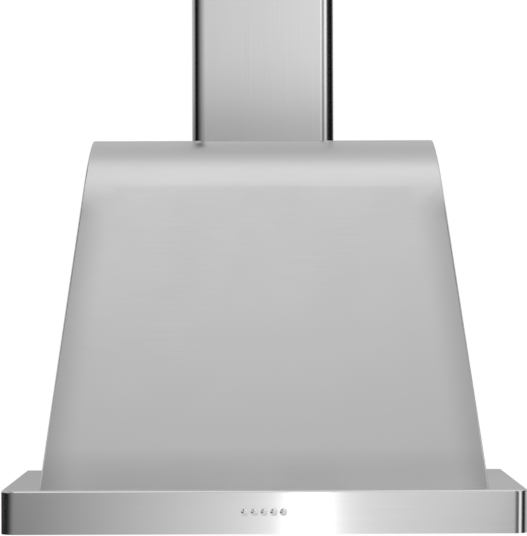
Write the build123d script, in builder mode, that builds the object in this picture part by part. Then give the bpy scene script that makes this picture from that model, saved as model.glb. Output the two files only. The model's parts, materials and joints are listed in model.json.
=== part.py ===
"""Wall-mounted chimney range hood, in millimetres.

A folded steel base carries a tapered canopy with a rounded shoulder, and a telescopic chimney cover stands
on the canopy. A double-inlet blower hangs under the canopy's top and blows into a round collar with two
back-draught flaps. Three baffle filters and two lamps sit in the recessed panel under the base, and five
push buttons sit in the middle of its front.

X runs to the right, Y towards the wall, whose plane is Y = 0, and Z up.
The origin is midway between the two hook slots, on the wall plane.
"""

import os
from math import acos, cos, degrees, radians, sin, tan

from build123d import *

# ---------------------------------------------------------------- sheet and fastener sizes
body_sheet = 1.0  # base, canopy and underside panel
wall_sheet = 1.4  # plate against the wall
cover_sheet = 0.8  # chimney covers
bracket_sheet = 1.5
seat_gap = 0.3  # between a loose piece and what it rests on
hole_clearance = 0.15  # radial, round a screw
screw_shank_radius = 1.75
screw_head_radius = 3.4
screw_head_height = 2.0
screw_hole_radius = screw_shank_radius + hole_clearance

# ---------------------------------------------------------------- base
hood_width = 900.0
hood_depth = 500.0
base_height = 75.0
base_corner_radius = 24.0
base_fold_radius = 4.0
rim_return = 16.0  # flange turned in along the bottom edge
deck_opening_width = 640.0
deck_opening_depth = 360.0
deck_opening_radius = 20.0

# ---------------------------------------------------------------- canopy
canopy_height = 607.0
canopy_bottom_width = 771.0
canopy_top_width = 603.0
canopy_setback = 20.0  # foot of the canopy's front, behind the base's front
canopy_lean = 10.0  # degrees that the front leans back
shoulder_radius = 105.0
canopy_fold_radius = 3.0
canopy_flange = 16.0  # flanges turned in at the bottom and the back
hook_drop = 126.0  # hook slots, below the canopy's top

crown_z = hook_drop
deck_z = crown_z - canopy_height
rim_z = deck_z - base_height

# ---------------------------------------------------------------- wall plate
hook_spacing = 300.0
hook_slot_length = 20.0
hook_slot_radius = 4.0
wall_screw_spacing = 500.0
wall_screw_drop = 400.0  # below the hook slots
wall_screw_radius = 4.0

# ---------------------------------------------------------------- chimney covers
chimney_width = 255.0
chimney_depth = 250.0
chimney_corner_radius = 24.0
chimney_return = 15.0  # flange turned in along the wall
lower_cover_height = 360.0
upper_cover_height = 360.0
upper_cover_reach = 150.0  # how far the upper cover stands out of the lower one
cover_running_gap = 1.0
foot_bracket_height = 25.0
wall_bracket_height = 30.0
wall_bracket_drop = 10.0  # below the top of the upper cover
wall_bracket_step = 7.0  # run of the step from the cover's flanges back to the wall
wall_bracket_spacing = 160.0
wall_bracket_hole_radius = 3.0
bracket_arm = 60.0
bracket_foot = 20.0
bracket_bend_radius = 2.0
louvre_count = 6
louvre_length = 90.0
louvre_height = 6.0
louvre_pitch = 13.0
louvre_drop = 70.0  # first louvre, below the top of the upper cover

# ---------------------------------------------------------------- blower
duct_radius = 75.0  # outside of the collar
duct_y = -140.0
wheel_radius = 70.0
wheel_half_width = 66.0
wheel_disc_sheet = 1.6
wheel_ring_height = 2.0
blade_depth = 12.0
blade_bow = 2.5
blade_count = 32
blade_thickness = 1.0
scroll_wall = 1.6
scroll_half_width = 76.0  # also half the square neck, front to back
scroll_start_gap = 14.0  # wheel to the scroll, at the tongue
scroll_end_gap = 38.0  # wheel to the scroll, in front
scroll_seam_width = 8.0
scroll_seam_sheet = 2.0
blower_drop = 150.0  # wheel's axis below the canopy's top plate
blower_flange = 16.0
blower_flange_sheet = 2.0
inlet_radius = 56.0
inlet_lip_radius = 6.0

motor_radius = 40.0
motor_length = 60.0
motor_end_radius = 37.0
motor_end_length = 14.0
motor_boss_radius = 18.0
motor_boss_length = 4.0
shaft_radius = 4.0
shaft_clearance = 0.08
shaft_reach = 20.0  # past the middle of the wheel
hub_radius = 12.0
hub_half_length = 10.0
wheel_nut_radius = 7.5
wheel_nut_height = 5.0
spider_sheet = 2.0
spider_disc_radius = 30.0
spider_arm_width = 12.0
spider_arm_reach = 72.0
spider_screw_radius = 66.0
motor_screw_radius = 24.0

# ---------------------------------------------------------------- collar and flaps
gasket_thickness = 1.5
collar_height = 60.0
collar_wall = 2.0
collar_flange_width = 17.0
collar_flange_sheet = 2.0
collar_screw_radius = 84.5
collar_screw_angle = 20.0
flap_axis_height = 25.0
flap_axis_offset = 3.6
flap_thickness = 1.5
flap_wall_gap = 1.5
flap_pin_radius = 1.5
flap_pin_clearance = 0.1
flap_barrel_radius = 2.9
flap_barrel_inset = 5.0
flap_ledge_width = 3.0
flap_ledge_height = 2.0

# ---------------------------------------------------------------- underside panel, filters and lamps
panel_recess = 12.0  # panel above the bottom edge
panel_gap = 0.5
lamp_strip = 125.0  # from the base's front to the filters
rear_strip = 75.0  # from the filters to the wall
filter_count = 3
filter_side_margin = 51.0  # beside the outer filters
filter_height = 13.0
filter_sheet = 1.0
filter_rail = 14.0
filter_corner_radius = 3.0
filter_gap = 3.0
filter_width = (hood_width - 2 * filter_side_margin - (filter_count + 1) * filter_gap) / filter_count
filter_depth = hood_depth - lamp_strip - rear_strip
filter_front_gap = 0.7
filter_rear_gap = 4.0  # filter to its hinge line
filter_hinge_gap = 0.3  # hinge line to the panel's edge
filter_tab_width = 22.0
filter_tab_reach = 8.0  # behind the hinge line
filter_tab_inset = 40.0
baffle_sheet = 0.8
baffle_count = 7
baffle_slot = 11.0
baffle_cover_width = 20.0
baffle_lip = 4.5
baffle_overlap = 8.0  # into the frame's channel at each end
pull_width = 70.0
pull_sheet = 1.2
pull_drop = 8.0
pull_flange = 8.0
pull_inset = 3.0
pull_bend_radius = 1.6
magnet_width = 22.0
magnet_depth = 11.0
magnet_height = 10.0
magnet_spacing = 150.0

lamp_side_margin = 170.0  # from the base's side to a lamp's axis
lamp_spacing = hood_width - 2 * lamp_side_margin
lamp_hole_radius = 31.0
lamp_bezel_radius = 35.0
lamp_bezel_sheet = 1.6
lamp_opening_radius = 25.0
lamp_sleeve_height = 7.0
lamp_lens_radius = 28.6
lamp_lens_thickness = 3.0
lamp_housing_radius = 34.0
lamp_housing_height = 42.0
lamp_housing_wall = 1.5
bulb_radius = 6.0
bulb_length = 22.0
bulb_socket_radius = 10.0
bulb_socket_height = 8.0

# ---------------------------------------------------------------- buttons and switches
button_count = 5
button_pitch = 16.5
button_radius = 6.0
button_gap = 0.3
button_reach = 3.5  # in front of the base's front
button_travel = 2.5
button_crown = 1.1
button_skirt_radius = 7.4
button_skirt = 1.2
button_stem_radius = 1.6
button_stem_entry = 3.0  # into the switch
board_margin = 10.0
board_height = 34.0
board_thickness = 1.6
switch_size = 9.0
switch_depth = 8.0
switch_floor = 1.0
carrier_wall = 2.0
carrier_depth = 24.0
carrier_ledge = 2.0

# ---------------------------------------------------------------- electrics
box_width = 120.0
box_height = 90.0
box_depth = 42.0
box_wall = 2.0
box_ear = 12.0
box_boss_radius = 5.0
box_x = -210.0
box_z = -110.0
gland_radius = 9.0
gland_hex_radius = 13.0
gland_hex_height = 6.0
gland_cap_radius = 10.0
gland_cap_height = 12.0
gland_bore_radius = 4.0
gland_tail = 8.0
gland_nut_height = 4.0
gland_x = 106.0
gland_y = -32.0
capacitor_radius = 15.0
capacitor_length = 55.0
terminal_length = 70.0
terminal_height = 18.0
terminal_depth = 16.0
terminal_ways = 5

os.makedirs("parts", exist_ok=True)


def save(piece, name):
    """Labels a finished piece and writes it under its own name."""
    piece.label = name
    export_step(piece, f"parts/{name}.step")


# ================================================================ base
def base_block(inset, bottom_z, top_z, fold_radius=0.0):
    """Solid with the base's plan, inset all round, and its upper front and side edges rounded."""
    with BuildPart() as block:
        with BuildSketch(Plane.XY.offset(bottom_z)) as plan:
            with Locations((0, -hood_depth / 2)):
                Rectangle(hood_width - 2 * inset, hood_depth - 2 * inset)
            fillet(plan.vertices().group_by(Axis.Y)[0], base_corner_radius - inset)
        extrude(amount=top_z - bottom_z)
        if fold_radius > 0:
            top_edges = block.faces().sort_by(Axis.Z)[-1].edges()
            fillet(top_edges.sort_by(Axis.Y)[:-1], fold_radius)
    return block.part


button_z = rim_z + base_height / 2
front_plane = Plane.XZ.offset(hood_depth)  # base's front, local x = X and local y = Z
panel_screw_inset = (body_sheet + rim_return) / 2
panel_side_screws = [
    (side * (hood_width / 2 - panel_screw_inset), y)
    for side in (-1, 1)
    for y in (-hood_depth * 0.82, -hood_depth * 0.45, -hood_depth * 0.08)
]
panel_rear_screws = [(x, -panel_screw_inset) for x in (-hood_width * 0.3, 0, hood_width * 0.3)]
panel_screw_points = panel_side_screws + panel_rear_screws
deck_opening_y = -(hood_depth - canopy_setback) / 2
canopy_screw_inset = canopy_flange / 2 + body_sheet
canopy_foot_y = -(hood_depth - canopy_setback)
canopy_side_x = canopy_bottom_width / 2 - canopy_screw_inset
canopy_screw_points = [
    (side * canopy_side_x, canopy_foot_y * share) for side in (-1, 1) for share in (0.2, 0.5, 0.8)
] + [(x, canopy_foot_y + canopy_screw_inset) for x in (-canopy_side_x * 0.6, 0, canopy_side_x * 0.6)]

with BuildPart() as base_shell:
    add(base_block(0, rim_z, deck_z, base_fold_radius))
    add(
        base_block(body_sheet, rim_z, deck_z - body_sheet, base_fold_radius - body_sheet),
        mode=Mode.SUBTRACT,
    )
    add(base_block(body_sheet / 2, rim_z, rim_z + body_sheet))
    add(base_block(rim_return, rim_z, rim_z + body_sheet), mode=Mode.SUBTRACT)
    with BuildSketch(Plane.XY.offset(deck_z)):
        with Locations((0, deck_opening_y)):
            RectangleRounded(deck_opening_width, deck_opening_depth, deck_opening_radius)
        with Locations(*canopy_screw_points):
            Circle(screw_hole_radius)
    extrude(amount=-body_sheet, mode=Mode.SUBTRACT)
    with BuildSketch(Plane.XY.offset(rim_z)):
        with Locations(*panel_screw_points):
            Circle(screw_hole_radius)
    extrude(amount=body_sheet, mode=Mode.SUBTRACT)
    with BuildSketch(front_plane):
        with Locations((0, button_z)):
            with GridLocations(button_pitch, 0, button_count, 1):
                Circle(button_radius + button_gap)
    extrude(amount=-body_sheet, mode=Mode.SUBTRACT)
save(base_shell.part, "base_shell")

# ================================================================ canopy
canopy_back_y = -wall_sheet
lean = radians(canopy_lean)
side_taper = (canopy_bottom_width - canopy_top_width) / 2 / canopy_height
shoulder_z = crown_z - shoulder_radius
shoulder_y = canopy_foot_y + (shoulder_radius + (shoulder_z - deck_z) * sin(lean)) / cos(lean)


def canopy_outline(inset, bottom_z, top_z):
    """Corner points of the canopy seen from the front, inset at both sides."""
    side_inset = inset * (1 + side_taper**2) ** 0.5
    bottom = canopy_bottom_width / 2 - (bottom_z - deck_z) * side_taper - side_inset
    top = canopy_bottom_width / 2 - (top_z - deck_z) * side_taper - side_inset
    return [(-bottom, bottom_z), (bottom, bottom_z), (top, top_z), (-top, top_z)]


def canopy_block(inset, back_y, bottom_z, fold_radius):
    """Solid canopy, inset by a wall's thickness: its side profile crossed with its front outline."""
    radius = shoulder_radius - inset
    bend_y = shoulder_y - radius * cos(lean)
    bend_z = shoulder_z + radius * sin(lean)
    foot_y = bend_y - (bend_z - bottom_z) * tan(lean)
    mid = radians(canopy_lean / 2 + 45)
    with BuildPart() as block:
        with BuildSketch(Plane.YZ):
            with BuildLine():
                Line((back_y, bottom_z), (foot_y, bottom_z))
                Line((foot_y, bottom_z), (bend_y, bend_z))
                ThreePointArc(
                    (bend_y, bend_z),
                    (shoulder_y - radius * cos(mid), shoulder_z + radius * sin(mid)),
                    (shoulder_y, shoulder_z + radius),
                )
                Line((shoulder_y, shoulder_z + radius), (back_y, shoulder_z + radius))
                Line((back_y, shoulder_z + radius), (back_y, bottom_z))
            make_face()
        extrude(amount=hood_width, both=True)
        with BuildSketch(Plane.XZ.offset(-hood_depth)):
            Polygon(*canopy_outline(inset, bottom_z, crown_z), align=None)
        extrude(amount=2 * hood_depth, mode=Mode.INTERSECT)
        folds = ShapeList()
        for side in (block.faces().sort_by(Axis.X)[0], block.faces().sort_by(Axis.X)[-1]):
            folds += side.edges().sort_by(Axis.Z)[1:].sort_by(Axis.Y)[:-1]
        fillet(folds, fold_radius)
    return block.part


def polar(radius, angle):
    """Point at a radius and an angle in degrees."""
    return (radius * cos(radians(angle)), radius * sin(radians(angle)))


collar_outer = duct_radius + collar_flange_width
collar_screw_points = [
    (polar(collar_screw_radius, angle)[0], duct_y + polar(collar_screw_radius, angle)[1])
    for middle in (0, 180)
    for angle in (middle - collar_screw_angle, middle + collar_screw_angle)
]
blower_corner = scroll_half_width + blower_flange / 2
blower_corner_points = [
    (side * blower_corner, duct_y + along * blower_corner) for side in (-1, 1) for along in (-1, 1)
]
foot_bracket_y = -chimney_depth * 0.5
foot_bracket_inner = chimney_width / 2 - cover_sheet - bracket_sheet
foot_screw_points = [
    (side * (foot_bracket_inner - 8), foot_bracket_y + along)
    for side in (-1, 1)
    for along in (-bracket_arm / 3, bracket_arm / 3)
]
flange_centre = canopy_flange / 2
wall_plate_heights = [deck_z + canopy_height * share for share in (0.12, 0.5, 0.88)]


def back_flange_points():
    """Screw places along the canopy's side flanges, seen from the front."""
    points = []
    for z in wall_plate_heights:
        half = canopy_bottom_width / 2 - (z - deck_z) * side_taper
        points += [(side * (half - flange_centre - body_sheet), z) for side in (-1, 1)]
    return points


with BuildPart() as canopy_shell:
    add(canopy_block(0, canopy_back_y, deck_z, canopy_fold_radius))
    add(
        canopy_block(body_sheet, hood_depth, deck_z - hood_depth, canopy_fold_radius - body_sheet),
        mode=Mode.SUBTRACT,
    )
    with BuildSketch(Plane.XY.offset(deck_z)):
        with Locations((0, (canopy_foot_y + canopy_back_y) / 2)):
            Rectangle(canopy_bottom_width - body_sheet, canopy_back_y - canopy_foot_y - body_sheet)
            Rectangle(
                canopy_bottom_width - 2 * canopy_flange,
                canopy_back_y - canopy_foot_y - 2 * canopy_flange,
                mode=Mode.SUBTRACT,
            )
        with Locations(*canopy_screw_points):
            Circle(screw_hole_radius, mode=Mode.SUBTRACT)
    extrude(amount=body_sheet)
    with BuildSketch(Plane.XZ.offset(-canopy_back_y)):
        Polygon(*canopy_outline(body_sheet / 2, deck_z, crown_z - canopy_fold_radius), align=None)
        Polygon(
            *canopy_outline(canopy_flange, deck_z + canopy_flange, crown_z - canopy_flange),
            align=None,
            mode=Mode.SUBTRACT,
        )
        with Locations(*back_flange_points()):
            Circle(screw_hole_radius, mode=Mode.SUBTRACT)
    extrude(amount=body_sheet)
    with BuildSketch(Plane.XY.offset(crown_z)):
        with Locations((0, duct_y)):
            Circle(duct_radius - collar_wall)
        with Locations(*collar_screw_points, *blower_corner_points, *foot_screw_points):
            Circle(screw_hole_radius)
        with Locations((gland_x, gland_y)):
            Circle(gland_radius + hole_clearance)
    extrude(amount=-body_sheet, mode=Mode.SUBTRACT)
save(canopy_shell.part, "canopy_shell")

# ================================================================ wall plate
hook_points = [(-hook_spacing / 2, 0), (hook_spacing / 2, 0)]
wall_screw_points = [(side * wall_screw_spacing / 2, -wall_screw_drop) for side in (-1, 1)]
box_screw_points = [
    (box_x + side * (box_width / 2 + 6), box_z + rise * box_height / 4)
    for side in (-1, 1)
    for rise in (-1, 1)
]

with BuildPart() as wall_plate:
    with BuildSketch(Plane.XZ):
        Polygon(*canopy_outline(0, deck_z, crown_z), align=None)
        with Locations(*hook_points):
            SlotOverall(hook_slot_length, 2 * hook_slot_radius, mode=Mode.SUBTRACT)
        with Locations(*wall_screw_points):
            Circle(wall_screw_radius, mode=Mode.SUBTRACT)
        with Locations(*back_flange_points(), *box_screw_points):
            Circle(screw_hole_radius, mode=Mode.SUBTRACT)
    extrude(amount=wall_sheet)
save(wall_plate.part, "wall_plate")

# ================================================================ chimney covers
def cover_plan(inset, wall_gap):
    """Plan of a chimney cover: three walls with rounded corners and two flanges along the wall."""
    width = chimney_width - 2 * inset
    depth = chimney_depth - inset - wall_gap
    with BuildSketch() as plan:
        with Locations((0, -wall_gap - depth / 2)):
            Rectangle(width, depth)
        fillet(plan.vertices().group_by(Axis.Y)[0], chimney_corner_radius - inset)
        offset(amount=-cover_sheet, mode=Mode.SUBTRACT)
        with Locations((0, -wall_gap)):
            Rectangle(width - 2 * chimney_return, 4 * cover_sheet, mode=Mode.SUBTRACT)
    return plan.sketch


lower_top_z = crown_z + lower_cover_height
upper_top_z = lower_top_z + upper_cover_reach
upper_bottom_z = upper_top_z - upper_cover_height
upper_inset = cover_sheet + cover_running_gap
foot_side_z = crown_z + foot_bracket_height / 2
wall_bracket_z = upper_top_z - wall_bracket_drop - wall_bracket_height / 2

with BuildPart() as lower_cover:
    with BuildSketch(Plane.XY.offset(crown_z)):
        add(cover_plan(0, 0))
    extrude(amount=lower_cover_height)
    with BuildSketch(Plane.YZ):
        with Locations((foot_bracket_y, foot_side_z)):
            Circle(screw_hole_radius)
    extrude(amount=chimney_width, both=True, mode=Mode.SUBTRACT)
save(lower_cover.part, "lower_chimney_cover")

with BuildPart() as upper_cover:
    with BuildSketch(Plane.XY.offset(upper_bottom_z)):
        add(cover_plan(upper_inset, upper_inset))
    extrude(amount=upper_cover_height)
    with BuildSketch(Plane.YZ):
        with Locations((-bracket_arm / 2, wall_bracket_z)):
            Circle(screw_hole_radius)
        for row in range(louvre_count):
            with Locations((-chimney_depth / 2, upper_top_z - louvre_drop - row * louvre_pitch)):
                SlotOverall(louvre_length, louvre_height)
    extrude(amount=chimney_width, both=True, mode=Mode.SUBTRACT)
save(upper_cover.part, "upper_chimney_cover")


def foot_bracket(side):
    """Angle on the canopy's top, standing against one side of the lower cover."""
    leg_x = side * (chimney_width / 2 - cover_sheet - bracket_sheet / 2)
    foot_x = side * (chimney_width / 2 - cover_sheet - bracket_foot)
    foot_z = crown_z + bracket_sheet / 2
    with BuildPart() as bracket:
        with BuildSketch(Plane.XZ.offset(-foot_bracket_y - bracket_arm / 2)):
            with BuildLine():
                FilletPolyline(
                    (leg_x, crown_z + foot_bracket_height),
                    (leg_x, foot_z),
                    (foot_x, foot_z),
                    radius=bracket_bend_radius,
                )
            trace(line_width=bracket_sheet)
        extrude(amount=bracket_arm)
        with BuildSketch(Plane.XY.offset(crown_z)):
            with Locations(*foot_screw_points):
                Circle(screw_hole_radius)
        extrude(amount=bracket_sheet, mode=Mode.SUBTRACT)
        with BuildSketch(Plane.YZ):
            with Locations((foot_bracket_y, foot_side_z)):
                Circle(screw_hole_radius)
        extrude(amount=chimney_width, both=True, mode=Mode.SUBTRACT)
    return bracket.part


save(foot_bracket(-1), "foot_bracket_left")
save(foot_bracket(1), "foot_bracket_right")

arm_x = chimney_width / 2 - upper_inset - cover_sheet - bracket_sheet / 2
step_x = chimney_width / 2 - upper_inset - chimney_return - bracket_sheet
step_y = -upper_inset - cover_sheet - bracket_sheet / 2
half_bracket = [
    (step_x - wall_bracket_step, -bracket_sheet / 2),
    (step_x, step_y),
    (arm_x, step_y),
    (arm_x, -bracket_arm),
]

with BuildPart() as wall_bracket:
    with BuildSketch(Plane.XY.offset(wall_bracket_z - wall_bracket_height / 2)):
        with BuildLine():
            FilletPolyline(
                *[(-x, y) for x, y in reversed(half_bracket)],
                *half_bracket,
                radius=bracket_bend_radius / 2,
            )
        trace(line_width=bracket_sheet)
    extrude(amount=wall_bracket_height)
    with BuildSketch(Plane.YZ):
        with Locations((-bracket_arm / 2, wall_bracket_z)):
            Circle(screw_hole_radius)
    extrude(amount=chimney_width, both=True, mode=Mode.SUBTRACT)
    with BuildSketch(Plane.XZ):
        with Locations((-wall_bracket_spacing / 2, wall_bracket_z), (wall_bracket_spacing / 2, wall_bracket_z)):
            Circle(wall_bracket_hole_radius)
    extrude(amount=bracket_sheet, mode=Mode.SUBTRACT)
save(wall_bracket.part, "wall_bracket")

# ================================================================ blower
blower_top_z = crown_z - body_sheet
wheel_z = blower_top_z - blower_drop
scroll_start = wheel_radius + scroll_start_gap + scroll_wall
scroll_end = wheel_radius + scroll_end_gap + scroll_wall
wheel_y = duct_y - scroll_half_width + scroll_end
neck_rear = duct_y + scroll_half_width - wheel_y
tongue_angle = degrees(acos(neck_rear / scroll_start))
wheel_plane = Plane(origin=(0, wheel_y, wheel_z), x_dir=(0, 1, 0), z_dir=(1, 0, 0))
wheel_axis = Axis((0, wheel_y, wheel_z), (1, 0, 0))


def scroll_point(angle, inset):
    """Point on the scroll's spiral, about the wheel's axis."""
    share = (tongue_angle - angle) / (tongue_angle + 180)
    return polar(scroll_start + (scroll_end - scroll_start) * share - inset, angle)


def scroll_profile(inset):
    """Scroll and neck seen along the wheel's axis, inset by a wall's thickness."""
    rear = neck_rear - inset
    first_angle = degrees(acos(rear / (scroll_start - inset)))
    angles = [first_angle - (first_angle + 180) * i / 12 for i in range(13)]
    with BuildSketch() as profile:
        with BuildLine():
            tongue = (rear, rear * tan(radians(first_angle)))
            curve = Spline(tongue, *[scroll_point(angle, inset) for angle in angles[1:]])
            Polyline(curve @ 1, ((curve @ 1).X, blower_drop), (rear, blower_drop), tongue)
        make_face()
    return profile.sketch


scroll_screw_points = [scroll_point(angle, -scroll_seam_width / 2) for angle in (40, 0, -45, -90, -135, -178)]
spider_screw_points = [polar(spider_screw_radius, angle) for angle in (90, 210, 330)]
motor_screw_points = [polar(motor_screw_radius, angle) for angle in (30, 150, 270)]


def blower_shell(side):
    """One half of the scroll, from the middle of the wheel outwards."""
    with BuildPart() as shell:
        with BuildSketch(wheel_plane):
            add(scroll_profile(0))
        extrude(amount=side * scroll_half_width)
        with BuildSketch(wheel_plane):
            add(scroll_profile(-scroll_seam_width))
        extrude(amount=side * scroll_seam_sheet)
        with BuildSketch(Plane.XY.offset(blower_top_z)):
            with Locations((side * (scroll_half_width + blower_flange) / 2, duct_y)):
                Rectangle(scroll_half_width + blower_flange, 2 * (scroll_half_width + blower_flange))
        extrude(amount=-blower_flange_sheet)
        with BuildSketch(wheel_plane):
            add(scroll_profile(scroll_wall))
        extrude(amount=side * (scroll_half_width - scroll_wall), mode=Mode.SUBTRACT)
        with BuildSketch(wheel_plane):
            Circle(inlet_radius + inlet_lip_radius)
        extrude(amount=side * scroll_half_width, mode=Mode.SUBTRACT)
        with BuildSketch(Plane(origin=(0, wheel_y, wheel_z), x_dir=(1, 0, 0), z_dir=(0, -1, 0))) as lip:
            lip_x = side * (scroll_half_width - inlet_lip_radius)
            with Locations((lip_x, inlet_radius + inlet_lip_radius)):
                Circle(inlet_lip_radius)
                Circle(inlet_lip_radius - scroll_wall, mode=Mode.SUBTRACT)
            with Locations((lip_x + side * inlet_lip_radius / 2, inlet_radius + inlet_lip_radius / 2)):
                Rectangle(inlet_lip_radius, inlet_lip_radius, mode=Mode.INTERSECT)
        revolve(axis=wheel_axis)
        with BuildSketch(wheel_plane):
            with Locations(*scroll_screw_points):
                Circle(screw_hole_radius)
        extrude(amount=side * scroll_seam_sheet, mode=Mode.SUBTRACT)
        with BuildSketch(Plane.XY.offset(blower_top_z)):
            with Locations(*collar_screw_points, *blower_corner_points):
                Circle(screw_hole_radius)
        extrude(amount=-blower_flange_sheet, mode=Mode.SUBTRACT)
        if side < 0:
            with BuildSketch(wheel_plane.offset(-scroll_half_width)):
                with Locations(*spider_screw_points):
                    Circle(screw_hole_radius)
            extrude(amount=scroll_wall, mode=Mode.SUBTRACT)
    return shell.part


save(blower_shell(-1), "blower_shell_left")
save(blower_shell(1), "blower_shell_right")

blade_inner = wheel_radius - blade_depth
with BuildSketch() as blade:
    with BuildLine():
        ThreePointArc(
            (blade_inner, 0),
            (blade_inner + blade_depth / 2, -blade_bow),
            (wheel_radius - blade_thickness / 2, 0),
        )
    trace(line_width=blade_thickness)

with BuildPart() as impeller:
    with BuildSketch(wheel_plane):
        with PolarLocations(0, blade_count):
            add(blade.sketch)
    extrude(amount=wheel_half_width, both=True)
    with BuildSketch(wheel_plane):
        Circle(wheel_radius)
    extrude(amount=wheel_disc_sheet / 2, both=True)
    for side in (-1, 1):
        with BuildSketch(wheel_plane.offset(side * wheel_half_width)):
            Circle(wheel_radius)
            Circle(blade_inner, mode=Mode.SUBTRACT)
        extrude(amount=-side * wheel_ring_height)
    with BuildSketch(wheel_plane):
        Circle(hub_radius)
    extrude(amount=hub_half_length, both=True)
    with BuildSketch(wheel_plane):
        Circle(shaft_radius)
    extrude(amount=hub_half_length, both=True, mode=Mode.SUBTRACT)
save(impeller.part, "impeller")

motor_left = wheel_plane.offset(-scroll_half_width)
with BuildPart() as motor:
    with BuildSketch(motor_left):
        Circle(motor_end_radius)
    extrude(amount=motor_length)
    with BuildSketch(motor_left.offset(motor_end_length)):
        Circle(motor_radius)
    extrude(amount=motor_length - 2 * motor_end_length)
    with BuildSketch(motor_left.offset(motor_length)):
        Circle(motor_boss_radius)
    extrude(amount=motor_boss_length)
    with BuildSketch(motor_left.offset(motor_end_length / 2)):
        Circle(shaft_radius + shaft_clearance)
    extrude(amount=motor_length, mode=Mode.SUBTRACT)
    with BuildSketch(motor_left):
        with Locations(*motor_screw_points):
            Circle(screw_hole_radius)
    extrude(amount=motor_end_length, mode=Mode.SUBTRACT)
save(motor.part, "motor_body")

with BuildPart() as shaft:
    with BuildSketch(motor_left.offset(motor_end_length / 2 + seat_gap)):
        Circle(shaft_radius)
    extrude(amount=scroll_half_width - motor_end_length / 2 - seat_gap + shaft_reach)
save(shaft.part, "rotor_shaft")

with BuildPart() as wheel_nut:
    with BuildSketch(wheel_plane.offset(hub_half_length)):
        RegularPolygon(wheel_nut_radius, 6)
        Circle(shaft_radius, mode=Mode.SUBTRACT)
    extrude(amount=wheel_nut_height)
save(wheel_nut.part, "wheel_nut")

with BuildPart() as spider:
    with BuildSketch(motor_left):
        Circle(spider_disc_radius)
        with PolarLocations(spider_arm_reach / 2, 3, start_angle=90):
            Rectangle(spider_arm_reach, spider_arm_width)
        with Locations(*spider_screw_points, *motor_screw_points):
            Circle(screw_hole_radius, mode=Mode.SUBTRACT)
    extrude(amount=-spider_sheet)
save(spider.part, "motor_spider")

# ================================================================ collar and flaps
collar_z = crown_z + gasket_thickness
flap_z = collar_z + flap_axis_height
duct_bore = duct_radius - collar_wall
ledge_z = flap_z - flap_thickness / 2 - seat_gap
flap_axis_ys = (duct_y - flap_axis_offset, duct_y + flap_axis_offset)

with BuildPart() as gasket:
    with BuildSketch(Plane.XY.offset(crown_z)):
        with Locations((0, duct_y)):
            Circle(collar_outer)
            Circle(duct_bore, mode=Mode.SUBTRACT)
        with Locations(*collar_screw_points):
            Circle(screw_hole_radius, mode=Mode.SUBTRACT)
    extrude(amount=gasket_thickness)
save(gasket.part, "collar_gasket")

with BuildPart() as collar:
    with BuildSketch(Plane.XY.offset(collar_z)):
        with Locations((0, duct_y)):
            Circle(collar_outer)
        with Locations(*collar_screw_points):
            Circle(screw_hole_radius, mode=Mode.SUBTRACT)
    extrude(amount=collar_flange_sheet)
    with BuildSketch(Plane.XY.offset(collar_z)):
        with Locations((0, duct_y)):
            Circle(duct_radius)
    extrude(amount=collar_height)
    with BuildSketch(Plane.XY.offset(collar_z)):
        with Locations((0, duct_y)):
            Circle(duct_bore)
    extrude(amount=collar_height, mode=Mode.SUBTRACT)
    with BuildSketch(Plane.XY.offset(ledge_z)):
        with Locations((0, duct_y)):
            Circle(duct_bore)
            Circle(duct_bore - flap_ledge_width, mode=Mode.SUBTRACT)
    extrude(amount=-flap_ledge_height)
    with BuildSketch(Plane.YZ):
        with Locations(*[(y, flap_z) for y in flap_axis_ys]):
            Circle(flap_pin_radius)
    extrude(amount=duct_radius, both=True, mode=Mode.SUBTRACT)
save(collar.part, "outlet_collar")

with BuildPart() as damper_pins:
    with BuildSketch(Plane.YZ):
        with Locations(*[(y, flap_z) for y in flap_axis_ys]):
            Circle(flap_pin_radius)
    extrude(amount=duct_radius - collar_wall / 2, both=True)
save(damper_pins.part, "damper_pins")


def damper_flap(side):
    """Half-round flap with its barrel, in front of or behind the collar's middle."""
    axis_y = duct_y + side * flap_axis_offset
    with BuildPart() as flap:
        with BuildSketch(Plane.XY.offset(flap_z - flap_thickness / 2)):
            with Locations((0, duct_y)):
                Circle(duct_bore - flap_wall_gap)
            with Locations((0, axis_y + side * duct_bore / 2)):
                Rectangle(2 * duct_bore, duct_bore, mode=Mode.INTERSECT)
        extrude(amount=flap_thickness)
        with BuildSketch(Plane.YZ):
            with Locations((axis_y, flap_z)):
                Circle(flap_barrel_radius)
        extrude(amount=duct_bore - flap_barrel_inset, both=True)
        with BuildSketch(Plane.YZ):
            with Locations((axis_y, flap_z)):
                Circle(flap_pin_radius + flap_pin_clearance)
        extrude(amount=duct_bore, both=True, mode=Mode.SUBTRACT)
    return flap.part


save(damper_flap(-1), "damper_flap_front")
save(damper_flap(1), "damper_flap_rear")

# ================================================================ underside panel
panel_skirt = rim_return + panel_gap
panel_z = rim_z + panel_recess
panel_top_z = panel_z + body_sheet
filter_z = panel_top_z + seat_gap
filter_front_y = -hood_depth + lamp_strip
filter_rear_y = filter_front_y + filter_depth
filter_y = filter_front_y + filter_depth / 2
hinge_y = filter_rear_y + filter_rear_gap
filter_xs = [(i - (filter_count - 1) / 2) * (filter_width + filter_gap) for i in range(filter_count)]
aperture_front_y = filter_front_y - filter_front_gap
aperture_rear_y = hinge_y + filter_hinge_gap
aperture_width = filter_count * (filter_width + filter_gap) + filter_gap
lamp_y = -hood_depth + (panel_skirt + lamp_strip) / 2
lamp_points = [(-lamp_spacing / 2, lamp_y), (lamp_spacing / 2, lamp_y)]

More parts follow.
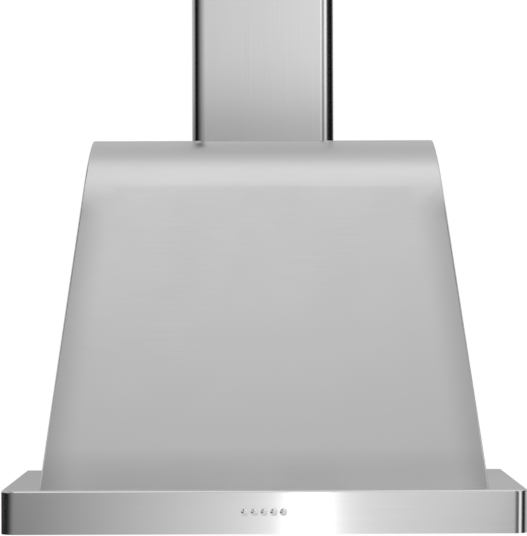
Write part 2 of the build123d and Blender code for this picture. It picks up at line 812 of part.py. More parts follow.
with BuildPart() as panel:
    add(base_block(body_sheet + panel_gap, rim_z + body_sheet, rim_z + 2 * body_sheet))
    add(base_block(panel_skirt, rim_z + body_sheet, panel_top_z))
    add(base_block(panel_skirt + body_sheet, rim_z + body_sheet, panel_z), mode=Mode.SUBTRACT)
    with BuildSketch(Plane.XY.offset(panel_z)):
        with Locations((0, (aperture_front_y + aperture_rear_y) / 2)):
            RectangleRounded(aperture_width, aperture_rear_y - aperture_front_y, filter_corner_radius)
        with Locations(*lamp_points):
            Circle(lamp_hole_radius)
    extrude(amount=body_sheet, mode=Mode.SUBTRACT)
    with BuildSketch(Plane.XY.offset(rim_z + body_sheet)):
        with Locations(*panel_screw_points):
            Circle(screw_hole_radius)
    extrude(amount=body_sheet, mode=Mode.SUBTRACT)
save(panel.part, "suction_panel")

# ================================================================ filters
baffle_length = filter_depth - 2 * filter_rail + 2 * baffle_overlap
baffle_span = filter_width - 2 * filter_rail
baffle_pitch = baffle_span / baffle_count
baffle_width = baffle_pitch - baffle_slot
baffle_z = filter_z + filter_sheet
baffle_height = filter_height - 2 * filter_sheet
baffle_plane = Plane.XZ.offset(-filter_y - baffle_length / 2)


def filter_frame(x):
    """Channel frame of one filter, with two hinge tabs at the rear."""
    tab_length = filter_rail / 2 + filter_rear_gap + filter_tab_reach
    with BuildPart() as frame:
        with BuildSketch(Plane.XY.offset(filter_z)):
            with Locations((x, filter_y)):
                RectangleRounded(filter_width, filter_depth, filter_corner_radius)
        extrude(amount=filter_height)
        with BuildSketch(Plane.XY.offset(baffle_z)):
            with Locations((x, filter_y)):
                Rectangle(filter_width - 2 * filter_sheet, filter_depth - 2 * filter_sheet)
        extrude(amount=baffle_height, mode=Mode.SUBTRACT)
        with BuildSketch(Plane.XY.offset(filter_z)):
            with Locations((x, filter_y)):
                Rectangle(filter_width - 2 * filter_rail, filter_depth - 2 * filter_rail)
        extrude(amount=filter_height, mode=Mode.SUBTRACT)
        with BuildSketch(Plane.XY.offset(filter_z)):
            with Locations((x, hinge_y + filter_tab_reach - tab_length / 2)):
                with GridLocations(filter_width - 2 * filter_tab_inset, 0, 2, 1):
                    Rectangle(filter_tab_width, tab_length)
        extrude(amount=filter_sheet)
    return frame.part


def filter_baffles(x):
    """Two rows of facing channels, the upper one over the lower one's slots, joined at both ends."""
    lower_xs = [x + (i - baffle_count / 2) * baffle_pitch for i in range(baffle_count + 1)]
    upper_xs = [x + (i - (baffle_count - 1) / 2) * baffle_pitch for i in range(baffle_count)]
    middle_z = baffle_z + baffle_height / 2
    with BuildPart() as baffles:
        with BuildSketch(baffle_plane):
            with Locations(*[(at, baffle_z + baffle_lip / 2) for at in lower_xs]):
                Rectangle(baffle_width, baffle_lip)
            with Locations(*[(at, baffle_z + baffle_sheet + baffle_lip / 2) for at in lower_xs]):
                Rectangle(baffle_width - 2 * baffle_sheet, baffle_lip, mode=Mode.SUBTRACT)
            with Locations(*[(at, baffle_z + baffle_height - baffle_lip / 2) for at in upper_xs]):
                Rectangle(baffle_cover_width, baffle_lip)
            with Locations(
                *[(at, baffle_z + baffle_height - baffle_sheet - baffle_lip / 2) for at in upper_xs]
            ):
                Rectangle(baffle_cover_width - 2 * baffle_sheet, baffle_lip, mode=Mode.SUBTRACT)
            with Locations((x, middle_z)):
                Rectangle(baffle_span, baffle_height, mode=Mode.INTERSECT)
        extrude(amount=baffle_length)
        for end in (baffle_plane, baffle_plane.offset(baffle_length - baffle_sheet)):
            with BuildSketch(end):
                with Locations((x, middle_z)):
                    Rectangle(baffle_span, baffle_height)
            extrude(amount=baffle_sheet)
    return baffles.part


def filter_pull(x):
    """Bent finger pull under the front rail."""
    web_y = filter_front_y + pull_inset + pull_flange
    top_z = filter_z - pull_sheet / 2
    with BuildPart() as pull:
        with BuildSketch(Plane.YZ.offset(x - pull_width / 2)):
            with BuildLine():
                FilletPolyline(
                    (web_y - pull_flange, top_z),
                    (web_y, top_z),
                    (web_y, top_z - pull_drop),
                    (web_y + pull_flange, top_z - pull_drop),
                    radius=pull_bend_radius,
                )
            trace(line_width=pull_sheet)
        extrude(amount=pull_width)
    return pull.part


for filter_x, filter_name in zip(filter_xs, ("left", "middle", "right")):
    save(filter_frame(filter_x), f"filter_{filter_name}_frame")
    save(filter_baffles(filter_x), f"filter_{filter_name}_baffles")
    save(filter_pull(filter_x), f"filter_{filter_name}_pull")

with BuildPart() as filter_magnets:
    with BuildSketch(Plane.XY.offset(panel_top_z)):
        for filter_x in filter_xs:
            with Locations((filter_x, aperture_front_y - magnet_depth / 2)):
                with GridLocations(magnet_spacing, 0, 2, 1):
                    Rectangle(magnet_width, magnet_depth)
    extrude(amount=magnet_height)
save(filter_magnets.part, "filter_magnets")

# ================================================================ lamps
def lamp_disc(x, bottom_z, radius, height):
    """Plain disc about a lamp's axis."""
    with BuildPart() as disc:
        with BuildSketch(Plane.XY.offset(bottom_z)):
            with Locations((x, lamp_y)):
                Circle(radius)
        extrude(amount=height)
    return disc.part


def lamp_bezel(x):
    """Trim ring under the panel with a sleeve through the panel's hole."""
    with BuildPart() as bezel:
        add(lamp_disc(x, panel_z - lamp_bezel_sheet, lamp_bezel_radius, lamp_bezel_sheet))
        fillet(bezel.faces().sort_by(Axis.Z)[0].edges(), lamp_bezel_sheet * 0.6)
        sleeve_radius = lamp_hole_radius - hole_clearance
        add(lamp_disc(x, panel_z, sleeve_radius, lamp_sleeve_height))
        add(lamp_disc(x, panel_z, lamp_lens_radius, lamp_sleeve_height), mode=Mode.SUBTRACT)
        add(
            lamp_disc(x, panel_z - lamp_bezel_sheet, lamp_opening_radius, lamp_bezel_sheet),
            mode=Mode.SUBTRACT,
        )
    return bezel.part


def lamp_housing(x):
    """Cup on top of the panel that covers the lamp."""
    inner_radius = lamp_housing_radius - lamp_housing_wall
    inner_height = lamp_housing_height - lamp_housing_wall
    with BuildPart() as housing:
        add(lamp_disc(x, panel_top_z, lamp_housing_radius, lamp_housing_height))
        fillet(housing.faces().sort_by(Axis.Z)[-1].edges(), 2 * lamp_housing_wall)
        add(lamp_disc(x, panel_top_z, inner_radius, inner_height), mode=Mode.SUBTRACT)
    return housing.part


def lamp_bulb(x):
    """Capsule bulb under a round socket."""
    socket_z = panel_top_z + lamp_housing_height - lamp_housing_wall - bulb_socket_height
    with BuildPart() as bulb:
        add(lamp_disc(x, socket_z, bulb_socket_radius, bulb_socket_height))
        add(lamp_disc(x, socket_z - bulb_length, bulb_radius, bulb_length))
        fillet(bulb.faces().sort_by(Axis.Z)[0].edges(), bulb_radius * 0.9)
    return bulb.part


for lamp_x, lamp_name in zip((-lamp_spacing / 2, lamp_spacing / 2), ("left", "right")):
    save(lamp_bezel(lamp_x), f"lamp_{lamp_name}_bezel")
    save(lamp_disc(lamp_x, panel_z, lamp_lens_radius, lamp_lens_thickness), f"lamp_{lamp_name}_lens")
    save(lamp_housing(lamp_x), f"lamp_{lamp_name}_housing")
    save(lamp_bulb(lamp_x), f"lamp_{lamp_name}_bulb")

# ================================================================ buttons and switches
fascia_y = -hood_depth + body_sheet  # inside of the base's front
skirt_rear_y = fascia_y + seat_gap + button_skirt
switch_y = skirt_rear_y + button_travel + seat_gap
board_y = switch_y + switch_depth
board_width = button_count * button_pitch + board_margin
button_xs = [(i - (button_count - 1) / 2) * button_pitch for i in range(button_count)]


def push_button(x):
    """Domed button with a retaining skirt and a stem into its switch."""
    apex_y = -hood_depth - button_reach
    with BuildPart() as button:
        with BuildSketch(Plane.YZ.offset(x)):
            with BuildLine():
                ThreePointArc(
                    (apex_y, button_z),
                    (apex_y + button_crown / 4, button_z + button_radius / 2),
                    (apex_y + button_crown, button_z + button_radius),
                )
                Polyline(
                    (apex_y + button_crown, button_z + button_radius),
                    (fascia_y + seat_gap, button_z + button_radius),
                    (fascia_y + seat_gap, button_z + button_skirt_radius),
                    (skirt_rear_y, button_z + button_skirt_radius),
                    (skirt_rear_y, button_z + button_stem_radius),
                    (switch_y + button_stem_entry, button_z + button_stem_radius),
                    (switch_y + button_stem_entry, button_z),
                    (apex_y, button_z),
                )
            make_face()
        revolve(axis=Axis((x, 0, button_z), (0, 1, 0)))
    return button.part


for button_number, button_x in enumerate(button_xs, start=1):
    save(push_button(button_x), f"button_{button_number}")

switch_plane = Plane.XZ.offset(-switch_y)
with BuildPart() as switches:
    with BuildSketch(switch_plane):
        with Locations((0, button_z)):
            with GridLocations(button_pitch, 0, button_count, 1):
                Rectangle(switch_size, switch_size)
    extrude(amount=-switch_depth)
    with BuildSketch(switch_plane):
        with Locations((0, button_z)):
            with GridLocations(button_pitch, 0, button_count, 1):
                Circle(button_stem_radius + button_gap)
    extrude(amount=switch_floor - switch_depth, mode=Mode.SUBTRACT)
save(switches.part, "switch_bodies")

with BuildPart() as board:
    with BuildSketch(Plane.XZ.offset(-board_y)):
        with Locations((0, button_z)):
            Rectangle(board_width, board_height)
    extrude(amount=-board_thickness)
save(board.part, "switch_board")

with BuildPart() as carrier:
    with BuildSketch(Plane.XZ.offset(-fascia_y)):
        with Locations((0, button_z)):
            Rectangle(board_width + 2 * carrier_wall, board_height + 2 * carrier_wall)
            Rectangle(board_width, board_height, mode=Mode.SUBTRACT)
    extrude(amount=-carrier_depth)
    with BuildSketch(Plane.XZ.offset(-board_y - board_thickness)):
        with Locations((0, button_z)):
            Rectangle(board_width + carrier_wall, board_height + carrier_wall)
            Rectangle(board_width - 2 * carrier_ledge, board_height - 2 * carrier_ledge, mode=Mode.SUBTRACT)
    extrude(amount=-carrier_ledge)
save(carrier.part, "switch_carrier")

# ================================================================ electrics
box_plane = Plane.XZ.offset(wall_sheet)
box_front_plane = box_plane.offset(box_depth)
box_boss_x = box_width / 2 - box_boss_radius
box_boss_z = box_height / 2 - box_boss_radius
lid_screw_points = [(box_x - box_boss_x, box_z + box_boss_z), (box_x + box_boss_x, box_z - box_boss_z)]

with BuildPart() as terminal_box:
    with BuildSketch(box_plane):
        with Locations((box_x, box_z)):
            Rectangle(box_width, box_height)
    extrude(amount=box_depth)
    with BuildSketch(box_plane.offset(box_wall)):
        with Locations((box_x, box_z)):
            Rectangle(box_width - 2 * box_wall, box_height - 2 * box_wall)
    extrude(amount=box_depth, mode=Mode.SUBTRACT)
    with BuildSketch(box_plane):
        with Locations((box_x, box_z)):
            Rectangle(box_width + 2 * box_ear, box_height * 0.8)
    extrude(amount=box_wall)
    with BuildSketch(box_plane):
        with Locations(*lid_screw_points):
            Circle(box_boss_radius)
    extrude(amount=box_depth)
    with BuildSketch(box_front_plane):
        with Locations(*lid_screw_points):
            Circle(screw_hole_radius)
    extrude(amount=box_wall - box_depth, mode=Mode.SUBTRACT)
    with BuildSketch(box_plane):
        with Locations(*box_screw_points):
            Circle(screw_hole_radius)
    extrude(amount=box_wall, mode=Mode.SUBTRACT)
save(terminal_box.part, "terminal_box")

with BuildPart() as terminal_lid:
    with BuildSketch(box_front_plane):
        with Locations((box_x, box_z)):
            RectangleRounded(box_width, box_height, box_wall)
        with Locations(*lid_screw_points):
            Circle(screw_hole_radius, mode=Mode.SUBTRACT)
    extrude(amount=box_wall)
save(terminal_lid.part, "terminal_box_lid")

with BuildPart() as terminal_block:
    with BuildSketch(box_plane.offset(box_wall)):
        with Locations((box_x, box_z + terminal_height)):
            Rectangle(terminal_length, terminal_height)
    extrude(amount=terminal_depth)
    with BuildSketch(box_plane.offset(box_wall + terminal_depth)):
        with Locations((box_x, box_z + terminal_height)):
            with GridLocations(terminal_length / terminal_ways, terminal_height / 2, terminal_ways, 2):
                Circle(screw_shank_radius)
    extrude(amount=-terminal_depth / 2, mode=Mode.SUBTRACT)
save(terminal_block.part, "terminal_block")

with BuildPart() as capacitor:
    with BuildSketch(Plane.YZ.offset(box_x - capacitor_length / 2)):
        with Locations((-wall_sheet - box_wall - capacitor_radius, box_z - box_height / 2 + 2 * capacitor_radius)):
            Circle(capacitor_radius)
            with Locations((capacitor_radius / 2, 0)):
                Rectangle(capacitor_radius, capacitor_radius)
    extrude(amount=capacitor_length)
save(capacitor.part, "motor_capacitor")

with BuildPart() as gland:
    with BuildSketch(Plane.XY.offset(crown_z)):
        with Locations((gland_x, gland_y)):
            RegularPolygon(gland_hex_radius, 6)
    extrude(amount=gland_hex_height)
    with BuildSketch(Plane.XY.offset(crown_z)):
        with Locations((gland_x, gland_y)):
            Circle(gland_cap_radius)
    extrude(amount=gland_hex_height + gland_cap_height)
    chamfer(gland.faces().sort_by(Axis.Z)[-1].edges(), gland_cap_radius / 4)
    with BuildSketch(Plane.XY.offset(crown_z)):
        with Locations((gland_x, gland_y)):
            Circle(gland_radius)
    extrude(amount=-body_sheet - gland_tail)
    with BuildSketch(Plane.XY.offset(crown_z)):
        with Locations((gland_x, gland_y)):
            Circle(gland_bore_radius)
    extrude(amount=hood_width, both=True, mode=Mode.SUBTRACT)
save(gland.part, "cable_gland")

with BuildPart() as gland_nut:
    with BuildSketch(Plane.XY.offset(blower_top_z)):
        with Locations((gland_x, gland_y)):
            RegularPolygon(gland_hex_radius, 6)
            Circle(gland_radius, mode=Mode.SUBTRACT)
    extrude(amount=-gland_nut_height)
save(gland_nut.part, "gland_nut")


# ================================================================ screws
def screws(*rows):
    """Screws in rows, each row a plane under the heads, the points on it and the shanks' length."""
    with BuildPart() as group:
        for plane, points, length in rows:
            with BuildSketch(plane):
                with Locations(*points):
                    Circle(screw_shank_radius)
            extrude(amount=-length)
            with BuildSketch(plane):
                with Locations(*points):
                    Circle(screw_head_radius)
            extrude(amount=screw_head_height)
    return group.part


rim_plane = Plane.XY.offset(rim_z)
rim_down = Plane(origin=rim_plane.origin, x_dir=(1, 0, 0), z_dir=(0, 0, -1))
side_planes = [
    Plane(origin=(side * chimney_width / 2, 0, 0), x_dir=(0, side, 0), z_dir=(side, 0, 0)) for side in (-1, 1)
]
upper_side_planes = [plane.offset(-upper_inset) for plane in side_planes]
seam_plane = wheel_plane.offset(scroll_seam_sheet)
spider_plane = Plane(origin=motor_left.offset(-spider_sheet).origin, x_dir=(0, -1, 0), z_dir=(-1, 0, 0))
screw_tail = 3.0

save(
    screws(
        (Plane.XY.offset(deck_z + body_sheet), canopy_screw_points, 2 * body_sheet + screw_tail),
        (Plane.XZ.offset(wall_sheet + body_sheet), back_flange_points(), wall_sheet + body_sheet),
    ),
    "canopy_screws",
)
save(
    screws((rim_down, [(x, -y) for x, y in panel_screw_points], 2 * body_sheet + screw_tail)),
    "panel_screws",
)
save(
    screws(
        (Plane.XY.offset(crown_z), blower_corner_points, body_sheet + blower_flange_sheet + screw_tail),
        (
            Plane.XY.offset(collar_z + collar_flange_sheet),
            collar_screw_points,
            collar_flange_sheet + gasket_thickness + body_sheet + blower_flange_sheet + screw_tail,
        ),
        (seam_plane, scroll_screw_points, 2 * scroll_seam_sheet + screw_tail),
        (spider_plane, [(-y, z) for y, z in spider_screw_points], spider_sheet + scroll_wall + screw_tail),
        (spider_plane, [(-y, z) for y, z in motor_screw_points], spider_sheet + 2 * screw_tail),
    ),
    "blower_screws",
)
save(
    screws(
        (Plane.XY.offset(crown_z + bracket_sheet), foot_screw_points, bracket_sheet + body_sheet + screw_tail),
        *[
            (plane, [(side * foot_bracket_y, foot_side_z)], cover_sheet + bracket_sheet + screw_tail)
            for side, plane in zip((-1, 1), side_planes)
        ],
    ),
    "chimney_screws",
)
save(
    screws(
        *[
            (plane, [(-side * bracket_arm / 2, wall_bracket_z)], cover_sheet + bracket_sheet + screw_tail)
            for side, plane in zip((-1, 1), upper_side_planes)
        ]
    ),
    "upper_cover_screws",
)
save(
    screws(
        (box_plane.offset(box_wall), box_screw_points, box_wall + wall_sheet),
        (box_front_plane.offset(box_wall), lid_screw_points, box_wall + 2 * screw_tail),
    ),
    "box_screws",
)
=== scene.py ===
"""Range hood in brushed stainless steel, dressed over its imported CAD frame.

Lengths in the classes are in millimetres, as in the part's source, and meshes are written in metres.
X runs to the right, Y towards the wall and Z up. The wall's plane is Y = 0.
"""

import json
import logging
import math
from collections.abc import Callable, Iterator, Sequence
from contextlib import contextmanager
from dataclasses import dataclass
from enum import Enum
from functools import cache, partial
from typing import ClassVar

import bmesh
import bpy
from bpy.types import Material, Mesh, NodeSocket, NodeTree, Object, World
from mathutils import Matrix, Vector


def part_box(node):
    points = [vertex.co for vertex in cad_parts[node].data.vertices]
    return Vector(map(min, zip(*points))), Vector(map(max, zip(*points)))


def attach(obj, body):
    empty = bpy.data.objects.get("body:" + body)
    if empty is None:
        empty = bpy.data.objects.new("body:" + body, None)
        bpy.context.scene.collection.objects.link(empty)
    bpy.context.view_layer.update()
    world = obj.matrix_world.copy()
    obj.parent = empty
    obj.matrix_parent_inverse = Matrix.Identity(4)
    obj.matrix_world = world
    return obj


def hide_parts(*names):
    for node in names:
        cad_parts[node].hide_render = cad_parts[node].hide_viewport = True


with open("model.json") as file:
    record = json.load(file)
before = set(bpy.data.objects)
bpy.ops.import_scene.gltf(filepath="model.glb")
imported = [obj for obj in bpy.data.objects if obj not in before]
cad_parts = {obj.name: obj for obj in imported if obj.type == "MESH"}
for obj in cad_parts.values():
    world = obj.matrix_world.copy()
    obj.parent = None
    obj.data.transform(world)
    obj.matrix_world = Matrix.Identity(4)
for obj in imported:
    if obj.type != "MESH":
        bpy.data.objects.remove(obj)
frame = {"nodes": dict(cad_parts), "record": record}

logging.basicConfig(level=logging.INFO, format="%(message)s")
log = logging.getLogger("range_hood")

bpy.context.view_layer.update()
MM = 0.001
SHARP = 32.0  # faces bent away from each other by more than this, in degrees, meet in a crisp edge
COARSE_SHARP = 40.0  # the same on screws and louvres, whose bends have fewer steps
MERGE = 1e-6  # points nearer than this, in metres, are one

Point = Sequence[float]
Stops = tuple[tuple[float, float], ...]
Sizes = dict[str, int | float | tuple[float, float, float]]
Adder = Callable[..., NodeSocket]


# ---------------------------------------- node trees
def linear(hex_colour: str) -> tuple[float, float, float, float]:
    """Turns an sRGB hex colour into a linear one.

    Args:
        hex_colour: Six hex digits, such as "C9C9C9".

    Returns:
        Red, green, blue and an alpha of one.
    """
    channels = [int(hex_colour[i:i + 2], 16) / 255 for i in (0, 2, 4)]
    return tuple(c / 12.92 if c <= 0.04045 else ((c + 0.055) / 1.055) ** 2.4 for c in channels) + (1.0,)


def add_node(
    tree: NodeTree, kind: str, *values: object, out: int | str = 0, **settings: object
) -> NodeSocket | None:
    """Adds one node with its settings, values and links.

    Args:
        tree: Tree that gets the node.
        kind: Type name of the node, without the name of its family.
        values: What its first inputs get, in order, or a dict for inputs by name or number. A socket is
            linked, and so is each socket of a list.
        out: Name or number of the output that is wanted.
        settings: Properties of the node.

    Returns:
        That output, or nothing where the node has none.
    """
    names = (f"{family}Node{kind}" for family in ("Shader", "Geometry", "Function", ""))
    node = tree.nodes.new(next(name for name in names if hasattr(bpy.types, name)))
    for name, value in settings.items():
        setattr(node, name, value)
    for number, value in enumerate(values):
        for key, given in (value if isinstance(value, dict) else {number: value}).items():
            for one in given if isinstance(given, list) else [given]:
                if isinstance(one, NodeSocket):
                    tree.links.new(one, node.inputs[key])
                else:
                    node.inputs[key].default_value = one
    return node.outputs[out] if node.outputs else None


def clear_tree(owner: Material | World) -> Adder:
    """Empties a node tree before it is filled.

    Args:
        owner: Material or world that has the tree.

    Returns:
        Function that adds a node to the tree, with the arguments of add_node after its first.
    """
    owner.use_nodes = True
    owner.node_tree.nodes.clear()
    return partial(add_node, owner.node_tree)


# ---------------------------------------- finishes
class Grain(Enum):
    """Way that the brushed lines run on a sheet."""

    LEVEL = "level"
    UPRIGHT = "upright"


# Between these values lies nearly all of a pattern, for lines, patches and grain.
LINE_RANGE, PATCH_RANGE, GRAIN_RANGE = (0.3, 0.7), (0.35, 0.65), (0.25, 0.75)
# Sideways part of a normal: past the first number lines run as on a side wall, and the others lead from the
# end of a fold to the flat wall.
SIDEWAYS, FLAT_SIDE = 0.7, (0.985, 0.9995)


@dataclass(frozen=True)
class Finish:
    """What all finishes share: one colour, whose shade and bump follow a pattern."""

    name: str
    colour: str

    def dress(
        self, material: Material, add: Adder, pattern: NodeSocket, span: tuple[float, float, float, float],
        depth: float, shader: dict[str, object],
    ) -> Material:
        """Ends the tree of a finish.

        Args:
            material: The material.
            add: Adds a node to its tree.
            pattern: Socket with the pattern, from 0 to 1.
            span: Lowest and highest value of the pattern, and the shade at each.
            depth: Height of the bump.
            shader: Other inputs of the shader.

        Returns:
            The material.
        """
        tint = add("MapRange", pattern, *span)
        mixed = {6: linear(self.colour), 7: tint}
        tone = add("Mix", 1.0, mixed, out=2, data_type="RGBA", blend_type="MULTIPLY")
        bump = add("Bump", {"Height": pattern, "Distance": depth * MM, "Strength": 1.0})
        surface = add("BsdfPrincipled", {"Base Color": tone, "Normal": bump, **shader})
        add("OutputMaterial", surface)
        return material


@dataclass(frozen=True)
class BrushedStainless(Finish):
    """Stainless steel sheet, brushed with a belt: soft lines that draw a reflection out across them."""

    grain: Grain
    roughness: float
    anisotropy: float
    line_width: float = 1.6  # real lines are about 0.1 mm and too fine to show
    line_length: float = 180.0
    line_depth: float = 0.0016
    line_shade: float = 0.015
    patch_size: float = 111.0  # where the belt pressed a little harder
    unevenness: float = 0.05
    side_roughness: float = 0.0  # on walls that face left or right, where it isn't nought

    def build(self) -> Material:
        """Makes the material.

        Returns:
            The material, which reads Object coordinates.
        """
        material = bpy.data.materials.new(self.name)
        add = clear_tree(material)
        place = add("TexCoord", out="Object")
        across, along = 1 / (self.line_width * MM), 1 / (self.line_length * MM)
        # Level lines run along X on the front, and along Y on the walls that face sideways.
        scales = [(along, across, across), (across, along, across)]
        if self.grain is Grain.UPRIGHT:
            scales = [(across, across, along)] * 2
        lines = []
        for scale in scales:
            spread = add("Mapping", {"Vector": place, "Scale": scale})
            lines.append(add("TexNoise", {"Vector": spread, "Scale": 1.0, "Detail": 3.0}))
        facing = add("SeparateXYZ", add("NewGeometry", out="Normal"))
        facing = add("Math", facing, operation="ABSOLUTE")
        sideways = add("Math", facing, SIDEWAYS, operation="GREATER_THAN")
        streaks = add("Mix", sideways, {2: lines[0], 3: lines[1]})
        patches = add("TexNoise", {"Vector": place, "Scale": 1 / (self.patch_size * MM), "Detail": 2.0})
        low, high = self.roughness * (1 - self.unevenness), self.roughness * (1 + self.unevenness)
        rough = add("MapRange", patches, *PATCH_RANGE, low, high)
        if self.side_roughness:
            flat_side = add("MapRange", facing, *FLAT_SIDE)
            rough = add("Mix", flat_side, {2: rough, 3: self.side_roughness})
        shader = {
            "Metallic": 1.0,
            "Roughness": rough,
            "Anisotropic": self.anisotropy,
            "Anisotropic Rotation": 0.25 if self.grain is Grain.LEVEL else 0.0,
            "Tangent": add("Tangent", direction_type="RADIAL", axis="Z"),
        }
        span = (*LINE_RANGE, 1 - self.line_shade, 1 + self.line_shade)
        return self.dress(material, add, streaks, span, self.line_depth, shader)


@dataclass(frozen=True)
class PlainFinish(Finish):
    """A finish with a fine grain that moves its shade and roughness."""

    metallic: float
    roughness: float
    grain_size: float
    grain_depth: float
    shade_range: float = 0.04
    roughness_range: float = 0.06
    cells: bool = False
    ior: float = 1.5
    transmission: float = 0.0

    def build(self) -> Material:
        """Makes the material.

        Returns:
            The material, which reads Object coordinates.
        """
        material = bpy.data.materials.new(self.name)
        add = clear_tree(material)
        pattern = {"Vector": add("TexCoord", out="Object"), "Scale": 1 / (self.grain_size * MM)}
        if self.cells:
            grain = add("RGBToBW", add("TexVoronoi", pattern, out="Color"))
        else:
            grain = add("TexNoise", pattern | {"Detail": 3.0})
        low, high = max(self.roughness - self.roughness_range, 0.02), self.roughness + self.roughness_range
        shader = {
            "Metallic": self.metallic,
            "Roughness": add("MapRange", grain, *GRAIN_RANGE, low, high),
            "Transmission Weight": self.transmission,
        }
        if self.metallic < 1:
            shader["IOR"] = self.ior
        span = (*GRAIN_RANGE, 1 - self.shade_range, 1 + self.shade_range)
        return self.dress(material, add, grain, span, self.grain_depth, shader)


FINISHES: dict[str, Finish] = {
    # Stainless steel folded from brushed sheet: its lines run along the base and up the chimney, and draw
    # each reflection out across them. Its flat side walls spread a reflection wider, and look duller.
    "base_steel": BrushedStainless(
        "brushed_stainless_level", "CCCCCC", Grain.LEVEL, 0.1, 1.0, line_depth=0.0005, side_roughness=0.5
    ),
    "cover_steel": BrushedStainless(
        "brushed_stainless_upright", "CCCCCC", Grain.UPRIGHT, 0.1, 1.0, line_depth=0.0005, side_roughness=0.5
    ),
    # Satin sheet with a finer belt: reflections soften evenly into a quiet glow.
    "canopy_steel": BrushedStainless("satin_stainless", "CACACA", Grain.LEVEL, 0.24, 0.3, 1.2, 60.0, 0.0006),
    # Thin sheet as it comes from the rolls: a dull shine with faint lines.
    "filter_steel": BrushedStainless("filter_stainless", "C4C4C4", Grain.LEVEL, 0.28, 0.4),
    # Mirror polish: crisp reflections with the faintest orange peel.
    "polished": PlainFinish("polished_stainless", "D8D8D8", 1.0, 0.2, 14.0, 0.002, 0.01, 0.02),
    # Hot-dip zinc: flat spangles, each with its own grey.
    "galvanised": PlainFinish("galvanised_steel", "A9ABAD", 1.0, 0.42, 9.0, 0.004, 0.14, 0.08, True),
    # Bright zinc plate on small hardware: a soft shine that is a little uneven.
    "zinc": PlainFinish("zinc_plated_steel", "B9BABC", 1.0, 0.3, 1.2, 0.004),
    # Injection-moulded polypropylene with a spark-eroded texture: a broad, dull highlight.
    "black_plastic": PlainFinish("moulded_black_plastic", "1C1C1E", 0.0, 0.48, 0.8, 0.02, 0.1, 0.06),
    "grey_plastic": PlainFinish("moulded_grey_plastic", "6B6D70", 0.0, 0.42, 0.8, 0.02, 0.05, 0.05),
    # Baked enamel on the motor: glossy, with a slight orange peel.
    "enamel": PlainFinish("motor_enamel", "3A3D40", 0.0, 0.35, 2.5, 0.02),
    # Glass fibre laminate with a solder mask: green, with the weave faintly showing.
    "laminate": PlainFinish("circuit_laminate", "1F5B38", 0.0, 0.35, 0.6, 0.01, 0.08),
    # Foamed rubber with open pores: almost no shine.
    "rubber": PlainFinish("foam_rubber", "161616", 0.0, 0.8, 0.7, 0.05, 0.12),
    # Deep-drawn can: pale metal with soft reflections.
    "aluminium": PlainFinish("drawn_aluminium", "D6D7D9", 1.0, 0.3, 1.5, 0.003),
    # Pressed lamp glass, sanded inside: light passes, shapes don't.
    "frosted_glass": PlainFinish(
        "frosted_glass", "F2F2EE", 0.0, 0.45, 1.6, 0.02, 0.02, 0.05, ior=1.47, transmission=0.6
    ),
    # Blown glass: clear and smooth.
    "clear_glass": PlainFinish(
        "bulb_glass", "F7F7F4", 0.0, 0.06, 5.0, 0.002, 0.01, 0.02, ior=1.47, transmission=0.9
    ),
}


@cache
def material_of(finish: str) -> Material:
    """Builds the material of a finish on its first use."""
    return FINISHES[finish].build()


# ---------------------------------------- pieces
RECORD = frame["record"]
BODY_OF = {node: body for body, nodes in RECORD["behaviour"]["bodies"].items() for node in nodes}
SLOT_OF = {part["node"]: part["material_slot"] for part in RECORD["subparts"]}
SLOT_FINISH = {
    "hood_steel": "base_steel",
    "galvanised_steel": "galvanised",
    "filter_steel": "filter_steel",
    "polished_trim": "polished",
    "polished_button": "polished",
    "bright_steel": "zinc",
    "lamp_glass": "frosted_glass",
    "bulb_glass": "clear_glass",
    "black_plastic": "black_plastic",
    "grey_plastic": "grey_plastic",
    "circuit_board": "laminate",
    "motor_casing": "enamel",
    "capacitor_can": "aluminium",
    "magnet_case": "black_plastic",
    "seal_rubber": "rubber",
}


def loose(name: str, data: bpy.types.ID) -> Object:
    """Links an object to the scene that rides on nothing yet.

    Args:
        name: Name of the object.
        data: Its mesh, camera or light.

    Returns:
        The new object.
    """
    thing = bpy.data.objects.new(name, data)
    bpy.context.scene.collection.objects.link(thing)
    return thing


def new_piece(name: str, mesh: Mesh, node: str, finish: str = "", stands_in: bool = True) -> Object:
    """Puts a finished mesh in the scene as one piece, with the body and slot of a CAD node.

    Args:
        name: Name of the piece.
        mesh: Its mesh, in metres and in place.
        node: The CAD node.
        finish: Name of its finish, or nothing for the usual one of its slot.
        stands_in: True if the piece is shown in the node's place.

    Returns:
        The new object.
    """
    body, slot, replaced = BODY_OF[node], SLOT_OF[node], [node] if stands_in else []
    piece = loose(name, mesh)
    mesh.materials.clear()
    mesh.materials.append(material_of(finish or SLOT_FINISH[slot]))
    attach(piece, body)
    if replaced:
        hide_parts(*replaced)
    log.info("%s: %d faces", name, len(mesh.polygons))
    return piece


@contextmanager
def editing(mesh: Mesh) -> Iterator[bmesh.types.BMesh]:
    """Opens a mesh for editing, and writes it back afterwards.

    Args:
        mesh: The mesh.

    Yields:
        Its faces, edges and corners as a bmesh.
    """
    work = bmesh.new()
    work.from_mesh(mesh)
    yield work
    work.to_mesh(mesh)
    work.free()


